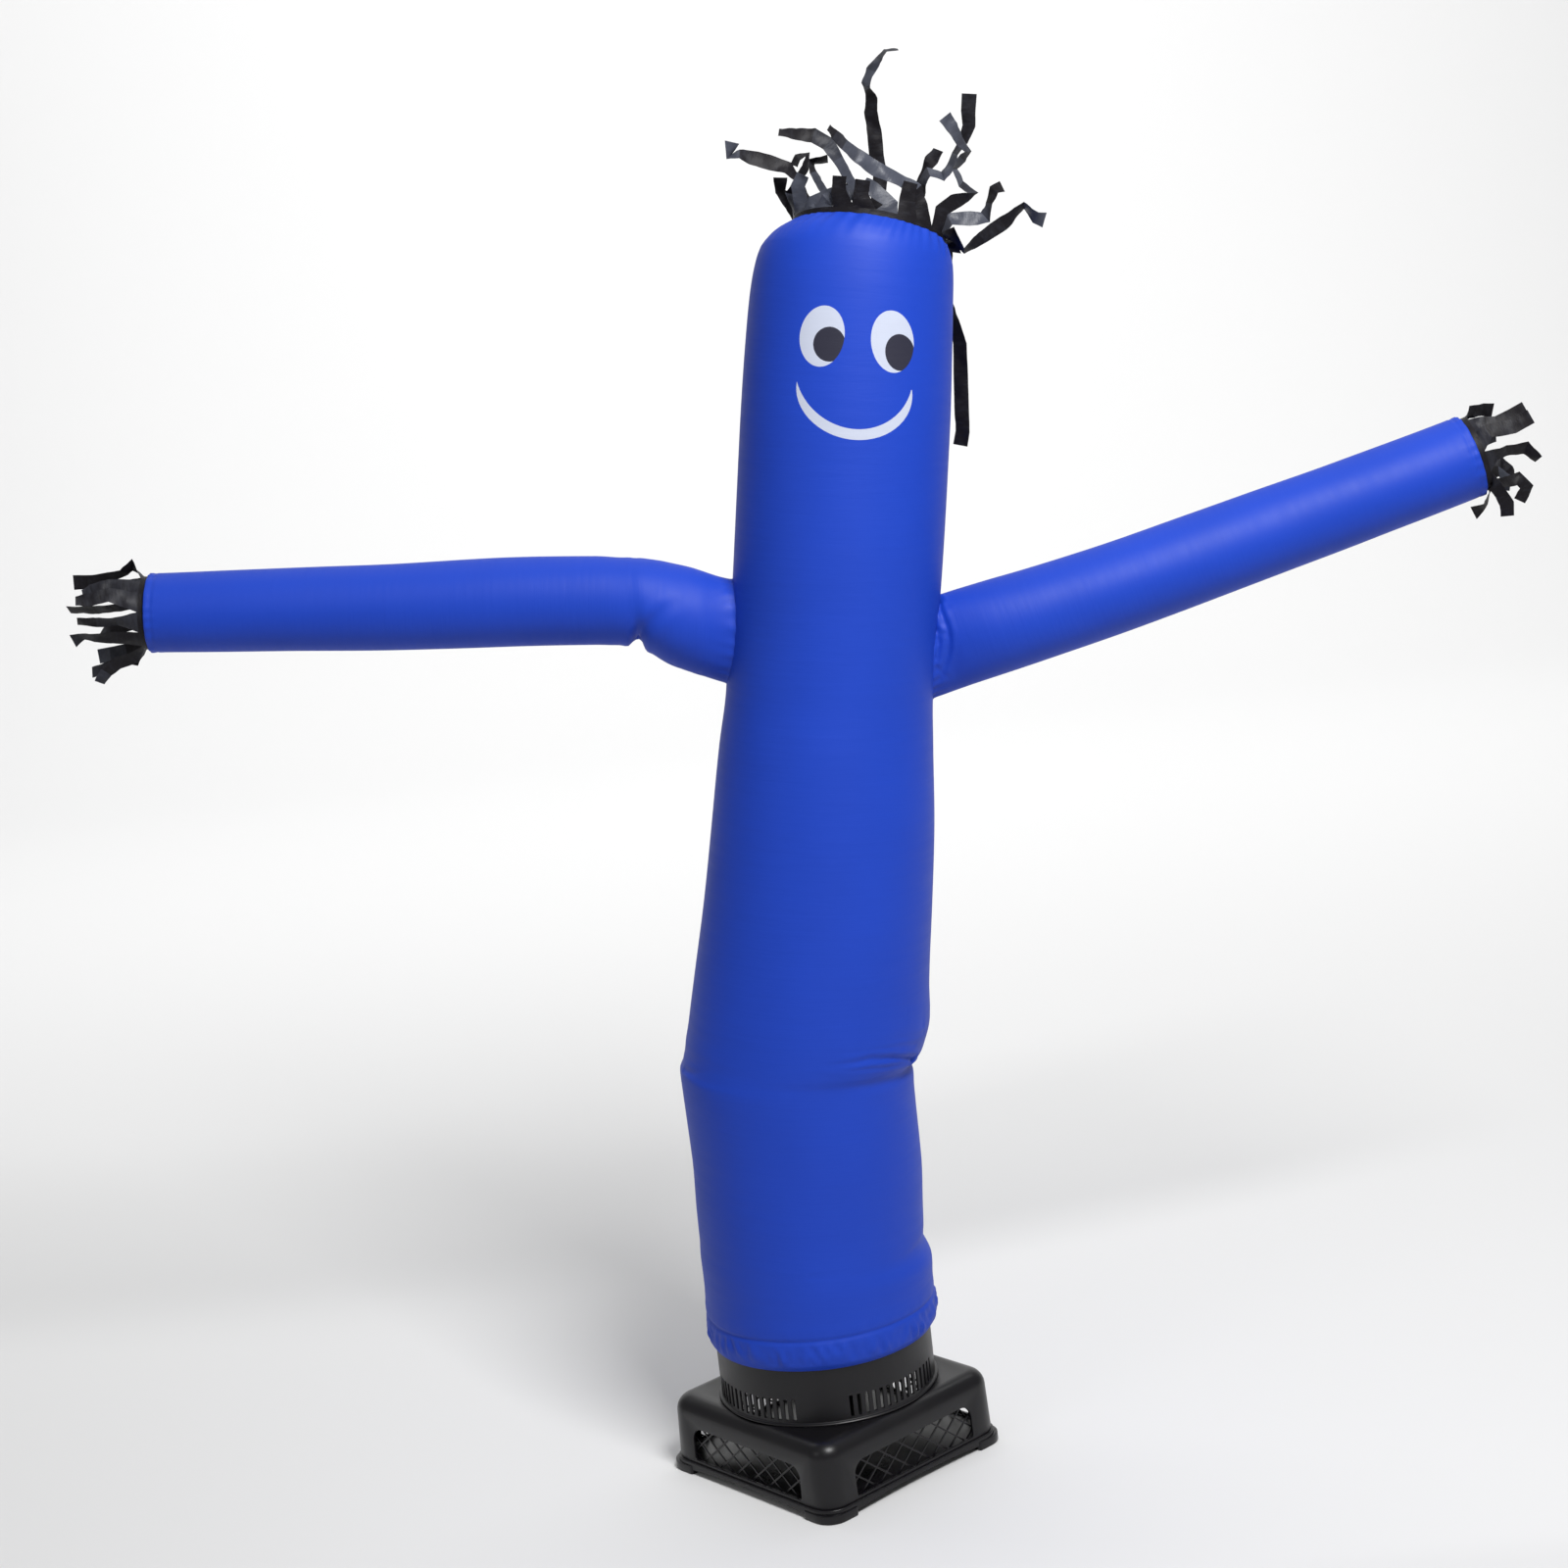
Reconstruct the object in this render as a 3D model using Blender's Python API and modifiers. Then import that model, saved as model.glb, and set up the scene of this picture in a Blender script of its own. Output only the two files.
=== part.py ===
"""Inflatable air dancer: a nylon tube figure standing on its square plastic blower.

Metres, +Z up. The origin is on the floor, midway between the fringe tips of the two hands. The
face looks along -Y, and the arms reach along -X and +X. Every table is measured from the axis
of the blower's round outlet, which stands at AXIS_X.
"""
import math
from collections import namedtuple

import bmesh
import bpy
from mathutils import Vector

AXIS_X = -0.093

# Clearances and wall thicknesses
GAP = 0.0003
PLASTIC = 0.0035
CLOTH = 0.0015
STRIP_CLOTH = 0.0012

# Blower: a square housing turned so that one corner faces the front
BLOWER_TURN = math.radians(-49.28)
HOUSING_HALF = 0.1675
HOUSING_CORNER = 0.033
HOUSING_EDGE = 0.022
HOUSING_TOP = 0.109
HOUSING_DRAFT = 0.985
CORNER_STEPS = 5
RIM_STEPS = 4
OUTLET_SIDES = 72

PAN_HALF = 0.1705
PAN_CORNER = 0.035
PAN_TOP = 0.0185
PAN_UNDERSIDE = 0.0135
PAN_LIP = 0.006
PAN_LIP_LOW = 0.007
PAN_LIP_ARCH = 0.005
PAN_SIDE_STEPS = 5

FOOT_HALF = 0.1725
FOOT_CORNER = 0.030
FOOT_LENGTH = 0.054
FOOT_HEIGHT = 0.0125

WINDOW_WIDTH = 0.226
WINDOW_LOW = 0.023
WINDOW_HIGH = 0.072
WINDOW_CORNER = 0.019
WINDOW_CUT = 0.030

GRILLE_PLANE = 0.1605
GRILLE_WIDTH = 0.240
GRILLE_HEIGHT = 0.056
GRILLE_CELLS = (7, 2)
GRILLE_BAR = 0.0024
GRILLE_THICKNESS = 0.0015

COLLAR_RADIUS = 0.1525
COLLAR_TOP = 0.250
SLOT_LOW = 0.117
SLOT_HIGH = 0.1475
SLOTS_PER_SIDE = 15
SLOT_PITCH = math.radians(4.25)
SLOT_ARC = math.radians(2.05)
PLAIN_STEPS = 5

# Cloth tubes: each section of the body is tilted down to +X by tilt and nods back by nod
TUBE_SIDES = 28
ARM_SIDES = 16
LEFT_ARM_LEAN = math.radians(6.5)
RIGHT_ARM_LEAN = math.radians(-15)
ARMHOLE_REACH = 0.080

Section = namedtuple("Section", "z x y half_width half_depth tilt nod")
BODY = [Section(*row) for row in (
    # Hem, gathered in to the blower's collar
    (0.1915, 0.0005, 0.000, 0.1570, 0.1570, 0.0, 0.0),
    (0.2000, 0.0010, 0.000, 0.1620, 0.1620, 0.0, 0.0),
    (0.2130, 0.0014, 0.000, 0.1637, 0.1637, 0.0, 0.0),
    (0.2350, 0.0017, 0.000, 0.1626, 0.1626, 0.0, 0.0),
    # Lower tube, upright
    (0.2650, 0.0028, 0.000, 0.1617, 0.1612, 3.0, 0.0),
    (0.3000, 0.0035, 0.000, 0.1634, 0.1610, 6.5, 0.0),
    (0.3300, 0.0006, 0.000, 0.1588, 0.1600, 6.5, 0.0),
    (0.3650, 0.0017, 0.000, 0.1594, 0.1590, 6.5, 0.0),
    (0.4500, 0.0062, 0.000, 0.1607, 0.1590, 6.5, 0.0),
    (0.5500, 0.0055, 0.000, 0.1618, 0.1600, 6.5, 0.0),
    # Kink, where the tube buckles and starts to lean
    (0.5735, 0.0064, 0.000, 0.1626, 0.1600, 6.5, 0.0),
    (0.5865, 0.0086, 0.000, 0.1590, 0.1600, 6.5, 0.0),
    (0.6005, 0.0177, 0.000, 0.1637, 0.1620, 6.5, 0.0),
    (0.6150, 0.0228, 0.000, 0.1657, 0.1630, 6.5, 0.0),
    # Upper tube, leaning and narrowing
    (0.6415, 0.0312, 0.000, 0.1668, 0.1640, 6.5, 0.0),
    (0.6970, 0.0407, 0.000, 0.1630, 0.1620, 6.5, 0.0),
    (0.8070, 0.0618, 0.000, 0.1573, 0.1560, 6.5, 0.0),
    (0.9150, 0.0806, 0.000, 0.1525, 0.1515, 6.5, 0.0),
    (1.0230, 0.0971, 0.000, 0.1457, 0.1455, 6.5, 0.0),
    (1.1000, 0.1105, 0.000, 0.1407, 0.1410, 6.5, 0.0),
    (1.2500, 0.1368, 0.000, 0.1407, 0.1410, 6.5, 0.0),
    (1.4300, 0.1663, 0.004, 0.1407, 0.1405, 6.5, 0.0),
    (1.5600, 0.1870, 0.007, 0.1374, 0.1370, 8.0, 0.0),
    # Head, drawn in to the open mouth that droops to the right and nods back
    (1.6200, 0.1975, 0.009, 0.1345, 0.1340, 10.5, 4.0),
    (1.6450, 0.2030, 0.010, 0.1322, 0.1310, 11.5, 8.0),
    (1.6650, 0.2085, 0.011, 0.1283, 0.1270, 12.5, 11.0),
    (1.6790, 0.2160, 0.012, 0.1200, 0.1190, 14.0, 13.5),
    (1.6915, 0.2270, 0.013, 0.1050, 0.1050, 15.0, 15.0),
)]

Fold = namedtuple("Fold", "z azimuth half_height half_spread depth")
BODY_FOLDS = [Fold(*row) for row in (
    (0.5865, -35.0, 0.010, 60.0, 0.0045),
    (0.6150, -60.0, 0.012, 40.0, -0.0020),
    (0.3300, -20.0, 0.014, 50.0, 0.0030),
    (0.2350, -90.0, 0.006, 180.0, 0.0008),
)]

Ring = namedtuple("Ring", "x z y radius")
LEFT_ARM = [Ring(*row) for row in (
    (0.030, 1.1800, 0.000, 0.0700),
    (-0.021, 1.1950, 0.000, 0.0706),
    (-0.060, 1.2120, 0.001, 0.0710),
    (-0.097, 1.2280, 0.003, 0.0680),
    (-0.122, 1.2420, 0.004, 0.0612),
    (-0.134, 1.2505, 0.005, 0.0550),
    (-0.148, 1.2495, 0.005, 0.0586),
    (-0.190, 1.2545, 0.007, 0.0600),
    (-0.305, 1.2650, 0.012, 0.0602),
    (-0.463, 1.2755, 0.020, 0.0582),
    (-0.620, 1.2890, 0.027, 0.0562),
    (-0.792, 1.3035, 0.035, 0.0537),
)]
RIGHT_ARM = [Ring(*row) for row in (
    (0.205, 1.1260, 0.000, 0.0652),
    (0.294, 1.1475, 0.003, 0.0652),
    (0.348, 1.1580, 0.006, 0.0645),
    (0.403, 1.1680, 0.010, 0.0632),
    (0.498, 1.1870, 0.016, 0.0618),
    (0.634, 1.2180, 0.026, 0.0603),
    (0.770, 1.2495, 0.036, 0.0586),
    (0.905, 1.2815, 0.047, 0.0574),
    (1.014, 1.3085, 0.055, 0.0568),
)]

# Fringes: strips of cloth that stand out of a narrow backing inside a tube's open end
STRIP_WIDTH = 0.020
BACKING_DEPTH = 0.011
BACKING_PROUD = 0.002
STRIP_STAND = 0.007
HAIR_BACKING_RADIUS = 0.1012
LEFT_BACKING_RADIUS = 0.0493
RIGHT_BACKING_RADIUS = 0.0522

# A bend is a length in mm, a heading in degrees above +X and the roll out of the front view
Bend = namedtuple("Bend", "length heading roll")
Strip = namedtuple("Strip", "lean bends")


def strips(*rows):
    return [Strip(lean, [Bend(*bend) for bend in bends]) for lean, *bends in rows]


HAIR = strips(
    (25, (12, -10, 60), (16, -70, 60)),
    (14, (12, -10, 45), (30, -88, 80), (43, -94, 75), (30, -82, 50), (31, -80, 30), (43, -93, 15),
     (54, -93, 10), (27, -92, 20), (20, -104, 10)),
    (2, (51, 49, 30), (27, -5, 15), (22, -2, 30), (19, 69, 70), (19, 64, 50), (12, 14, 40)),
    (-3, (50, 76, 40), (42, 76, 60), (18, 54, 50), (20, -24, 50), (17, 45, 60), (17, 66, 70),
     (20, 49, 55), (21, 64, 35), (20, 87, 20), (22, 81, 5)),
    (9, (50, 61, 30), (48, 61, 50), (23, 64, 60), (15, 55, 20), (17, 48, 50)),
    (1, (50, 78, 15), (50, 78, 10), (27, 95, 10), (30, 89, 10), (30, 94, 30), (16, 80, 40),
     (14, 107, 70), (9, 96, 55), (18, 62, 50), (18, 47, 65), (14, 46, 75), (17, -2, 80)),
    (2, (40, 77, 40), (33, 77, 45), (25, 116, 50), (29, 114, 40), (24, 117, 10), (23, 144, 5),
     (24, 170, 40), (23, 167, 60)),
    (0, (22, 68, 30), (12, 60, 45)),
    (1, (35, 68, 50), (24, 68, 55), (21, 120, 60), (15, 113, 60), (14, 92, 60), (22, 4, 60)),
    (1, (40, 71, 60), (23, 114, 60), (13, 98, 60), (16, 49, 60), (17, 74, 65), (14, 190, 60),
     (12, 239, 60)),
    (2, (26, 96, 30), (24, 122, 45), (18, 84, 20)),
    (1, (33, 92, 40), (20, 54, 60), (21, 123, 35), (24, 158, 10), (26, 159, 25), (16, 156, 55),
     (14, 188, 60), (19, 72, 15)),
    (-3, (14, 70, 20), (22, 95, 25), (16, 60, 35)),
    (-8, (10, 50, 15), (26, 16, 10), (24, 8, 10)),
    (-8, (10, 60, 15), (26, 14, 10), (22, -6, 15)),
    (-2, (22, 100, 20), (18, 80, 30)),
    (-4, (18, 101, 10), (19, 76, 15)),
    (9, (12, 60, 10), (28, 135, 10), (16, 142, 30)),
    (1, (24, 84, 10), (20, 70, 20)),
    (-8, (22, 98, 10), (22, 97, 30), (28, 146, 40), (32, 150, 10), (28, 139, 25), (23, 135, 45),
     (18, 129, 50), (12, 125, 65)),
    (-4, (25, 69, 20), (20, 28, 10), (27, 18, 45), (20, 139, 60), (21, 109, 65), (16, 45, 55),
     (12, 45, 60), (20, 123, 50), (18, 113, 30), (16, 120, 20)),
    (-6, (12, 10, 30), (28, -61, 70), (29, 30, 35), (32, 28, 20), (36, 34, 65), (22, -52, 45),
     (12, -22, 10)),
)
LEFT_HAND = strips(
    (0, (23, 121, 30), (17, 214, 60), (41, 190, 20), (28, 176, 0)),
    (4, (34, 185, 40), (21, 182, 40), (18, 187, 60)),
    (8, (51, 195, 50), (31, 180, 50), (40, 174, 55)),
    (10, (44, 197, 30), (22, 193, 40), (12, 169, 60)),
    (8, (45, 209, 30), (24, 187, 20), (17, 186, 10)),
    (3, (27, 227, 50), (19, 167, 60), (26, 200, 50), (22, 193, 50)),
    (-3, (20, 218, 30), (24, 191, 30), (19, 212, 40), (17, 230, 55)),
    (-6, (31, 169, 30), (30, 173, 50), (14, 165, 60), (15, 197, 20)),
    (-9, (27, 169, 50), (27, 176, 45), (25, 169, 55)),
    (-9, (39, 157, 30), (24, 187, 30), (20, 179, 60)),
    (-5, (40, 174, 20), (25, 187, 30), (12, 198, 50)),
)
RIGHT_HAND = strips(
    (0, (14, 40, 20), (15, 5, 30), (14, -12, 10)),
    (-4, (14, 6, 20), (20, -3, 30), (22, 19, 15), (20, 24, 10)),
    (-8, (17, 52, 30), (16, 3, 20), (18, 6, 20), (26, 25, 5)),
    (-10, (13, 39, 30), (16, 14, 40), (25, 3, 30), (23, -49, 65)),
    (-8, (11, -69, 40), (15, -61, 45), (14, -65, 30), (17, -93, 45)),
    (-3, (16, -108, 65), (10, -117, 60), (18, -154, 10)),
    (3, (31, 3, 50), (17, 10, 20), (17, -50, 10), (21, -121, 20)),
    (6, (32, 0, 50), (14, -50, 20), (17, -103, 10)),
    (10, (37, -29, 50), (15, 13, 30), (16, -53, 10), (11, -67, 30)),
    (10, (28, -20, 30), (24, 14, 30)),
    (5, (12, 38, 65), (14, 32, 70)),
)

SMOOTH_UNDER = math.radians(35)
Finish = namedtuple("Finish", "colour roughness")
BLACK_PLASTIC = Finish((0.014, 0.013, 0.016, 1.0), 0.38)
BLUE_NYLON = Finish((0.020, 0.062, 0.50, 1.0), 0.45)
BLACK_SATIN = Finish((0.022, 0.022, 0.028, 1.0), 0.45)


def clear_scene():
    for obj in list(bpy.data.objects):
        bpy.data.objects.remove(obj, do_unlink=True)


def new_collection(name):
    collection = bpy.data.collections.new(name)
    bpy.context.scene.collection.children.link(collection)
    return collection


def new_material(name, finish):
    material = bpy.data.materials.new(name)
    material.use_nodes = True
    shader = material.node_tree.nodes["Principled BSDF"]
    shader.inputs["Base Color"].default_value = finish.colour
    shader.inputs["Roughness"].default_value = finish.roughness
    shader.inputs["Metallic"].default_value = 0.0
    material.diffuse_color = finish.colour
    return material


def new_object(name, bm, collection, finish=None, parent=None):
    """Turn a bmesh into a named object, smooth where its faces nearly meet flat."""
    mesh = bpy.data.meshes.new(name)
    bm.to_mesh(mesh)
    bm.free()
    mesh.shade_smooth()
    mesh.set_sharp_from_angle(angle=SMOOTH_UNDER)
    obj = bpy.data.objects.new(name, mesh)
    collection.objects.link(obj)
    obj.parent = parent
    if finish:
        mesh.materials.append(new_material(name, finish))
    else:
        obj.hide_render = True
        obj.display_type = "WIRE"
    return obj


def add_wall(obj, thickness, offset=-1.0, even=True):
    wall = obj.modifiers.new("wall", "SOLIDIFY")
    wall.thickness = thickness
    wall.offset = offset
    wall.use_even_offset = even


def add_boolean(obj, other, operation):
    boolean = obj.modifiers.new(other.name, "BOOLEAN")
    boolean.operation = operation
    boolean.solver = "EXACT"
    boolean.object = other


def box_bmesh(low, high):
    """A box between two corners."""
    bm = bmesh.new()
    bmesh.ops.create_cube(bm, size=1.0)
    size = Vector(high) - Vector(low)
    centre = (Vector(high) + Vector(low)) / 2
    bmesh.ops.scale(bm, vec=size, verts=bm.verts)
    bmesh.ops.translate(bm, vec=centre, verts=bm.verts)
    return bm


def edges_along(bm, axis, chosen=lambda middle: True):
    """The edges that run mostly along an axis and whose middle is chosen."""
    found = []
    for edge in bm.edges:
        run = (edge.verts[1].co - edge.verts[0].co).normalized()
        middle = (edge.verts[0].co + edge.verts[1].co) / 2
        if abs(run[axis]) > 0.95 and chosen(middle):
            found.append(edge)
    return found


def round_edges(bm, edges, radius, steps):
    bmesh.ops.bevel(
        bm, geom=edges, offset=radius, segments=steps, profile=0.5, affect="EDGES"
    )


def rounded_square(half, radius, corner_steps, side_steps):
    """An outline of four straight sides and four arcs, anticlockwise from the +X side."""
    points = []
    inner = half - radius
    for quarter in range(4):
        turn = quarter * math.pi / 2
        outward = Vector((math.cos(turn), math.sin(turn)))
        along = Vector((-math.sin(turn), math.cos(turn)))
        for step in range(side_steps):
            t = inner * (2 * step / side_steps - 1)
            points.append(outward * half + along * t)
        corner = outward * inner + along * inner
        for step in range(corner_steps):
            angle = turn + math.pi / 2 * step / corner_steps
            points.append(corner + Vector((math.cos(angle), math.sin(angle))) * radius)
    return points


def blower_pan(collection, cutters, parent):
    """Base pan with an arched lip, and a pad under each corner."""
    bm = bmesh.new()
    outline = rounded_square(PAN_HALF, PAN_CORNER, CORNER_STEPS, PAN_SIDE_STEPS)
    top = bm.faces.new([bm.verts.new((p.x, p.y, PAN_TOP)) for p in outline])
    grown = bmesh.ops.extrude_face_region(bm, geom=[top], use_keep_orig=True)["geom"]
    low_face = [item for item in grown if isinstance(item, bmesh.types.BMFace)][0]
    drop = Vector((0, 0, PAN_LIP_LOW - PAN_TOP))
    bmesh.ops.translate(bm, vec=drop, verts=low_face.verts)
    bmesh.ops.inset_region(bm, faces=[low_face], thickness=PAN_LIP, use_even_offset=True)
    rise = Vector((0, 0, PAN_UNDERSIDE - PAN_LIP_LOW))
    raised = bmesh.ops.extrude_face_region(bm, geom=[low_face])["geom"]
    raised_verts = [item for item in raised if isinstance(item, bmesh.types.BMVert)]
    bmesh.ops.translate(bm, vec=rise, verts=raised_verts)
    bmesh.ops.delete(bm, geom=[low_face], context="FACES_ONLY")
    reach = PAN_HALF - FOOT_LENGTH
    for vert in bm.verts:
        run = min(abs(vert.co.x), abs(vert.co.y))
        if vert.co.z < PAN_LIP_LOW + GAP and run < reach:
            vert.co.z += PAN_LIP_ARCH * (1 - (run / reach) ** 2)
    bmesh.ops.recalc_face_normals(bm, faces=bm.faces)
    pan = new_object("blower_base", bm, collection, BLACK_PLASTIC, parent)
    for index in range(4):
        foot = blower_foot(index, cutters, parent)
        add_boolean(pan, foot, "UNION")
    return pan


def blower_foot(index, cutters, parent):
    """A corner pad that the blower stands on."""
    low = FOOT_HALF - FOOT_LENGTH
    bm = box_bmesh((low, low, 0.0), (FOOT_HALF, FOOT_HALF, FOOT_HEIGHT + GAP))
    outer = edges_along(bm, 2, lambda m: m.x > low + GAP and m.y > low + GAP)
    round_edges(bm, outer, FOOT_CORNER, CORNER_STEPS)
    foot = new_object(f"foot_{index + 1}", bm, cutters, None, parent)
    foot.rotation_euler.z = index * math.pi / 2
    return foot


def blower_housing(collection, cutters, parent):
    """Moulded cover: an open-bottomed square shell with four windows and a round outlet."""
    low = PAN_TOP + GAP
    bm = box_bmesh((-HOUSING_HALF, -HOUSING_HALF, low), (HOUSING_HALF, HOUSING_HALF, HOUSING_TOP))
    for vert in bm.verts:
        if vert.co.z > HOUSING_TOP - GAP:
            vert.co.xy *= HOUSING_DRAFT
    round_edges(bm, edges_along(bm, 2), HOUSING_CORNER, CORNER_STEPS)
    rim = [e for e in bm.edges if all(v.co.z > HOUSING_TOP - GAP for v in e.verts)]
    round_edges(bm, rim, HOUSING_EDGE, RIM_STEPS)
    under = [f for f in bm.faces if all(v.co.z < low + GAP for v in f.verts)]
    bmesh.ops.delete(bm, geom=under, context="FACES")
    housing = new_object("blower_housing", bm, collection, BLACK_PLASTIC, parent)
    add_wall(housing, PLASTIC)
    for index in range(4):
        add_boolean(housing, window_cutter(index, cutters, parent), "DIFFERENCE")
    bm = bmesh.new()
    bmesh.ops.create_cone(
        bm, segments=OUTLET_SIDES, radius1=COLLAR_RADIUS - PLASTIC, radius2=COLLAR_RADIUS - PLASTIC,
        depth=HOUSING_EDGE, cap_ends=True,
    )
    bmesh.ops.translate(bm, vec=(0, 0, HOUSING_TOP), verts=bm.verts)
    add_boolean(housing, new_object("outlet_cutter", bm, cutters, None, parent), "DIFFERENCE")
    return housing


def window_cutter(index, cutters, parent):
    """A block with its two upper corners rounded, through one side wall."""
    half = WINDOW_WIDTH / 2
    inner, outer = HOUSING_HALF - WINDOW_CUT / 2, HOUSING_HALF + WINDOW_CUT / 2
    bm = box_bmesh((inner, -half, WINDOW_LOW), (outer, half, WINDOW_HIGH))
    upper = edges_along(bm, 0, lambda m: m.z > WINDOW_HIGH - GAP)
    round_edges(bm, upper, WINDOW_CORNER, CORNER_STEPS)
    cutter = new_object(f"window_cutter_{index + 1}", bm, cutters, None, parent)
    cutter.rotation_euler.z = index * math.pi / 2
    return cutter


def blower_grille(name, index, collection, parent):
    """A lattice of crossed diagonal bars behind one window, standing on the pan."""
    columns, rows = 2 * GRILLE_CELLS[0], 2 * GRILLE_CELLS[1]
    bm = bmesh.new()
    bmesh.ops.create_grid(bm, x_segments=columns, y_segments=rows, size=0.5)
    bmesh.ops.scale(bm, vec=(GRILLE_WIDTH, GRILLE_HEIGHT, 1.0), verts=bm.verts)
    straight = [e for e in bm.edges if not e.is_boundary]
    for face in list(bm.faces):
        corners = sorted(face.verts, key=lambda v: (round(v.co.x, 5), round(v.co.y, 5)))
        middle = face.calc_center_median()
        column = math.floor((middle.x / GRILLE_WIDTH + 0.5) * columns)
        row = math.floor((middle.y / GRILLE_HEIGHT + 0.5) * rows)
        if (column + row) % 2:
            ends = [corners[0], corners[3]]
        else:
            ends = [corners[1], corners[2]]
        bmesh.ops.connect_verts(bm, verts=ends)
    bmesh.ops.dissolve_edges(bm, edges=straight, use_verts=False)
    panes = list(bm.faces)
    bmesh.ops.inset_individual(bm, faces=panes, thickness=GRILLE_BAR / 2, use_even_offset=True)
    bmesh.ops.delete(bm, geom=panes, context="FACES")
    middle_height = PAN_TOP + GAP + GRILLE_HEIGHT / 2
    for vert in bm.verts:
        vert.co = Vector((GRILLE_PLANE, vert.co.x, middle_height + vert.co.y))
    grille = new_object(name, bm, collection, BLACK_PLASTIC, parent)
    grille.rotation_euler.z = index * math.pi / 2
    add_wall(grille, GRILLE_THICKNESS, offset=0.0, even=False)
    return grille


def collar_angles():
    """Azimuths of the collar's columns, with whether a slot opens after each."""
    columns = []
    group = (SLOTS_PER_SIDE - 1) * SLOT_PITCH
    plain = math.pi / 2 - group - SLOT_ARC
    for side in range(4):
        start = side * math.pi / 2 - group / 2
        for slot in range(SLOTS_PER_SIDE):
            centre = start + slot * SLOT_PITCH
            columns.append((centre - SLOT_ARC / 2, True))
            if slot < SLOTS_PER_SIDE - 1:
                columns.append((centre + SLOT_ARC / 2, False))
        end = start + group + SLOT_ARC / 2
        columns.extend((end + plain * step / PLAIN_STEPS, False) for step in range(PLAIN_STEPS))
    return columns


def blower_collar(collection, parent):
    """Round outlet collar with four groups of upright slots near its foot."""
    columns = collar_angles()
    heights = (HOUSING_TOP + GAP, SLOT_LOW, SLOT_HIGH, COLLAR_TOP)
    rings = []
    for height in heights:
        rings.append([
            Vector((COLLAR_RADIUS * math.cos(a), COLLAR_RADIUS * math.sin(a), height))
            for a, _ in columns
        ])
    bm, rows = loft(rings)
    slotted = [rows[1][i] for i, (_, opens) in enumerate(columns) if opens]
    bmesh.ops.delete(bm, geom=slotted, context="FACES_ONLY")
    collar = new_object("blower_collar", bm, collection, BLACK_PLASTIC, parent)
    add_wall(collar, PLASTIC)
    return collar


def loft(rings, close_ends=False):
    """A tube through rings of points that run anticlockwise about its direction."""
    bm = bmesh.new()
    loops = [[bm.verts.new(point) for point in ring] for ring in rings]
    rows = []
    for low, high in zip(loops, loops[1:]):
        count = len(low)
        rows.append([
            bm.faces.new((low[i], low[(i + 1) % count], high[(i + 1) % count], high[i]))
            for i in range(count)
        ])
    if close_ends:
        bm.faces.new(list(reversed(loops[0])))
        bm.faces.new(loops[-1])
    return bm, rows


def fold_depth(folds, z, azimuth):
    """How far the folds draw the cloth in at a height and an azimuth in degrees."""
    depth = 0.0
    for fold in folds:
        away = abs((azimuth - fold.azimuth + 180) % 360 - 180)
        if away < fold.half_spread:
            across = math.cos(math.pi / 2 * away / fold.half_spread) ** 2
            depth += fold.depth * across * math.exp(-(((z - fold.z) / fold.half_height) ** 2))
    return depth


def section_axes(section):
    """Directions across a section's width, away from the front along its depth, and up."""
    tilt, nod = math.radians(section.tilt), math.radians(section.nod)
    across = Vector((math.cos(tilt), 0.0, -math.sin(tilt)))
    up = across.cross(Vector((0.0, math.cos(nod), -math.sin(nod)))).normalized()
    return across, up.cross(across), up


def body_rings(grow=0.0):
    """Rings of the body tube, larger by grow where a piece has to stay clear of it."""
    rings = []
    for s in BODY:
        across, away, _ = section_axes(s)
        centre = Vector((s.x, s.y, s.z))
        ring = []
        for side in range(TUBE_SIDES):
            angle = 2 * math.pi * side / TUBE_SIDES
            out = grow - fold_depth(BODY_FOLDS, s.z, math.degrees(angle))
            wide = (s.half_width + out) * math.cos(angle)
            deep = (s.half_depth + out) * math.sin(angle)
            ring.append(centre + across * wide + away * deep)
        rings.append(ring)
    return rings


def arm_rings(arm, lean, grow=0.0):
    """Rings of an arm, in order from inside the body to the open cuff."""
    facing = 1.0 if arm[-1].x < arm[0].x else -1.0
    up = Vector((math.sin(lean), 0.0, math.cos(lean)))
    away = Vector((0.0, facing, 0.0))
    rings = []
    for r in arm:
        centre = Vector((r.x, r.y, r.z))
        ring = []
        for side in range(ARM_SIDES):
            angle = 2 * math.pi * side / ARM_SIDES
            spoke = up * math.cos(angle) + away * math.sin(angle)
            ring.append(centre + spoke * (r.radius + grow))
        rings.append(ring)
    return rings


def armhole_rings(arm, lean):
    """Rings of the space inside an arm, from the body's middle to just outside it."""
    first, last = arm[0], arm[-1]
    near = [r for r in arm if abs(r.x - first.x) <= ARMHOLE_REACH]
    beyond = next(r for r in arm if abs(r.x - first.x) > ARMHOLE_REACH)
    share = (first.x + math.copysign(ARMHOLE_REACH, last.x - first.x) - near[-1].x)
    share /= beyond.x - near[-1].x
    end = Ring(*(a + (b - a) * share for a, b in zip(near[-1], beyond)))
    return arm_rings(near + [end], lean, grow=-CLOTH)


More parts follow.
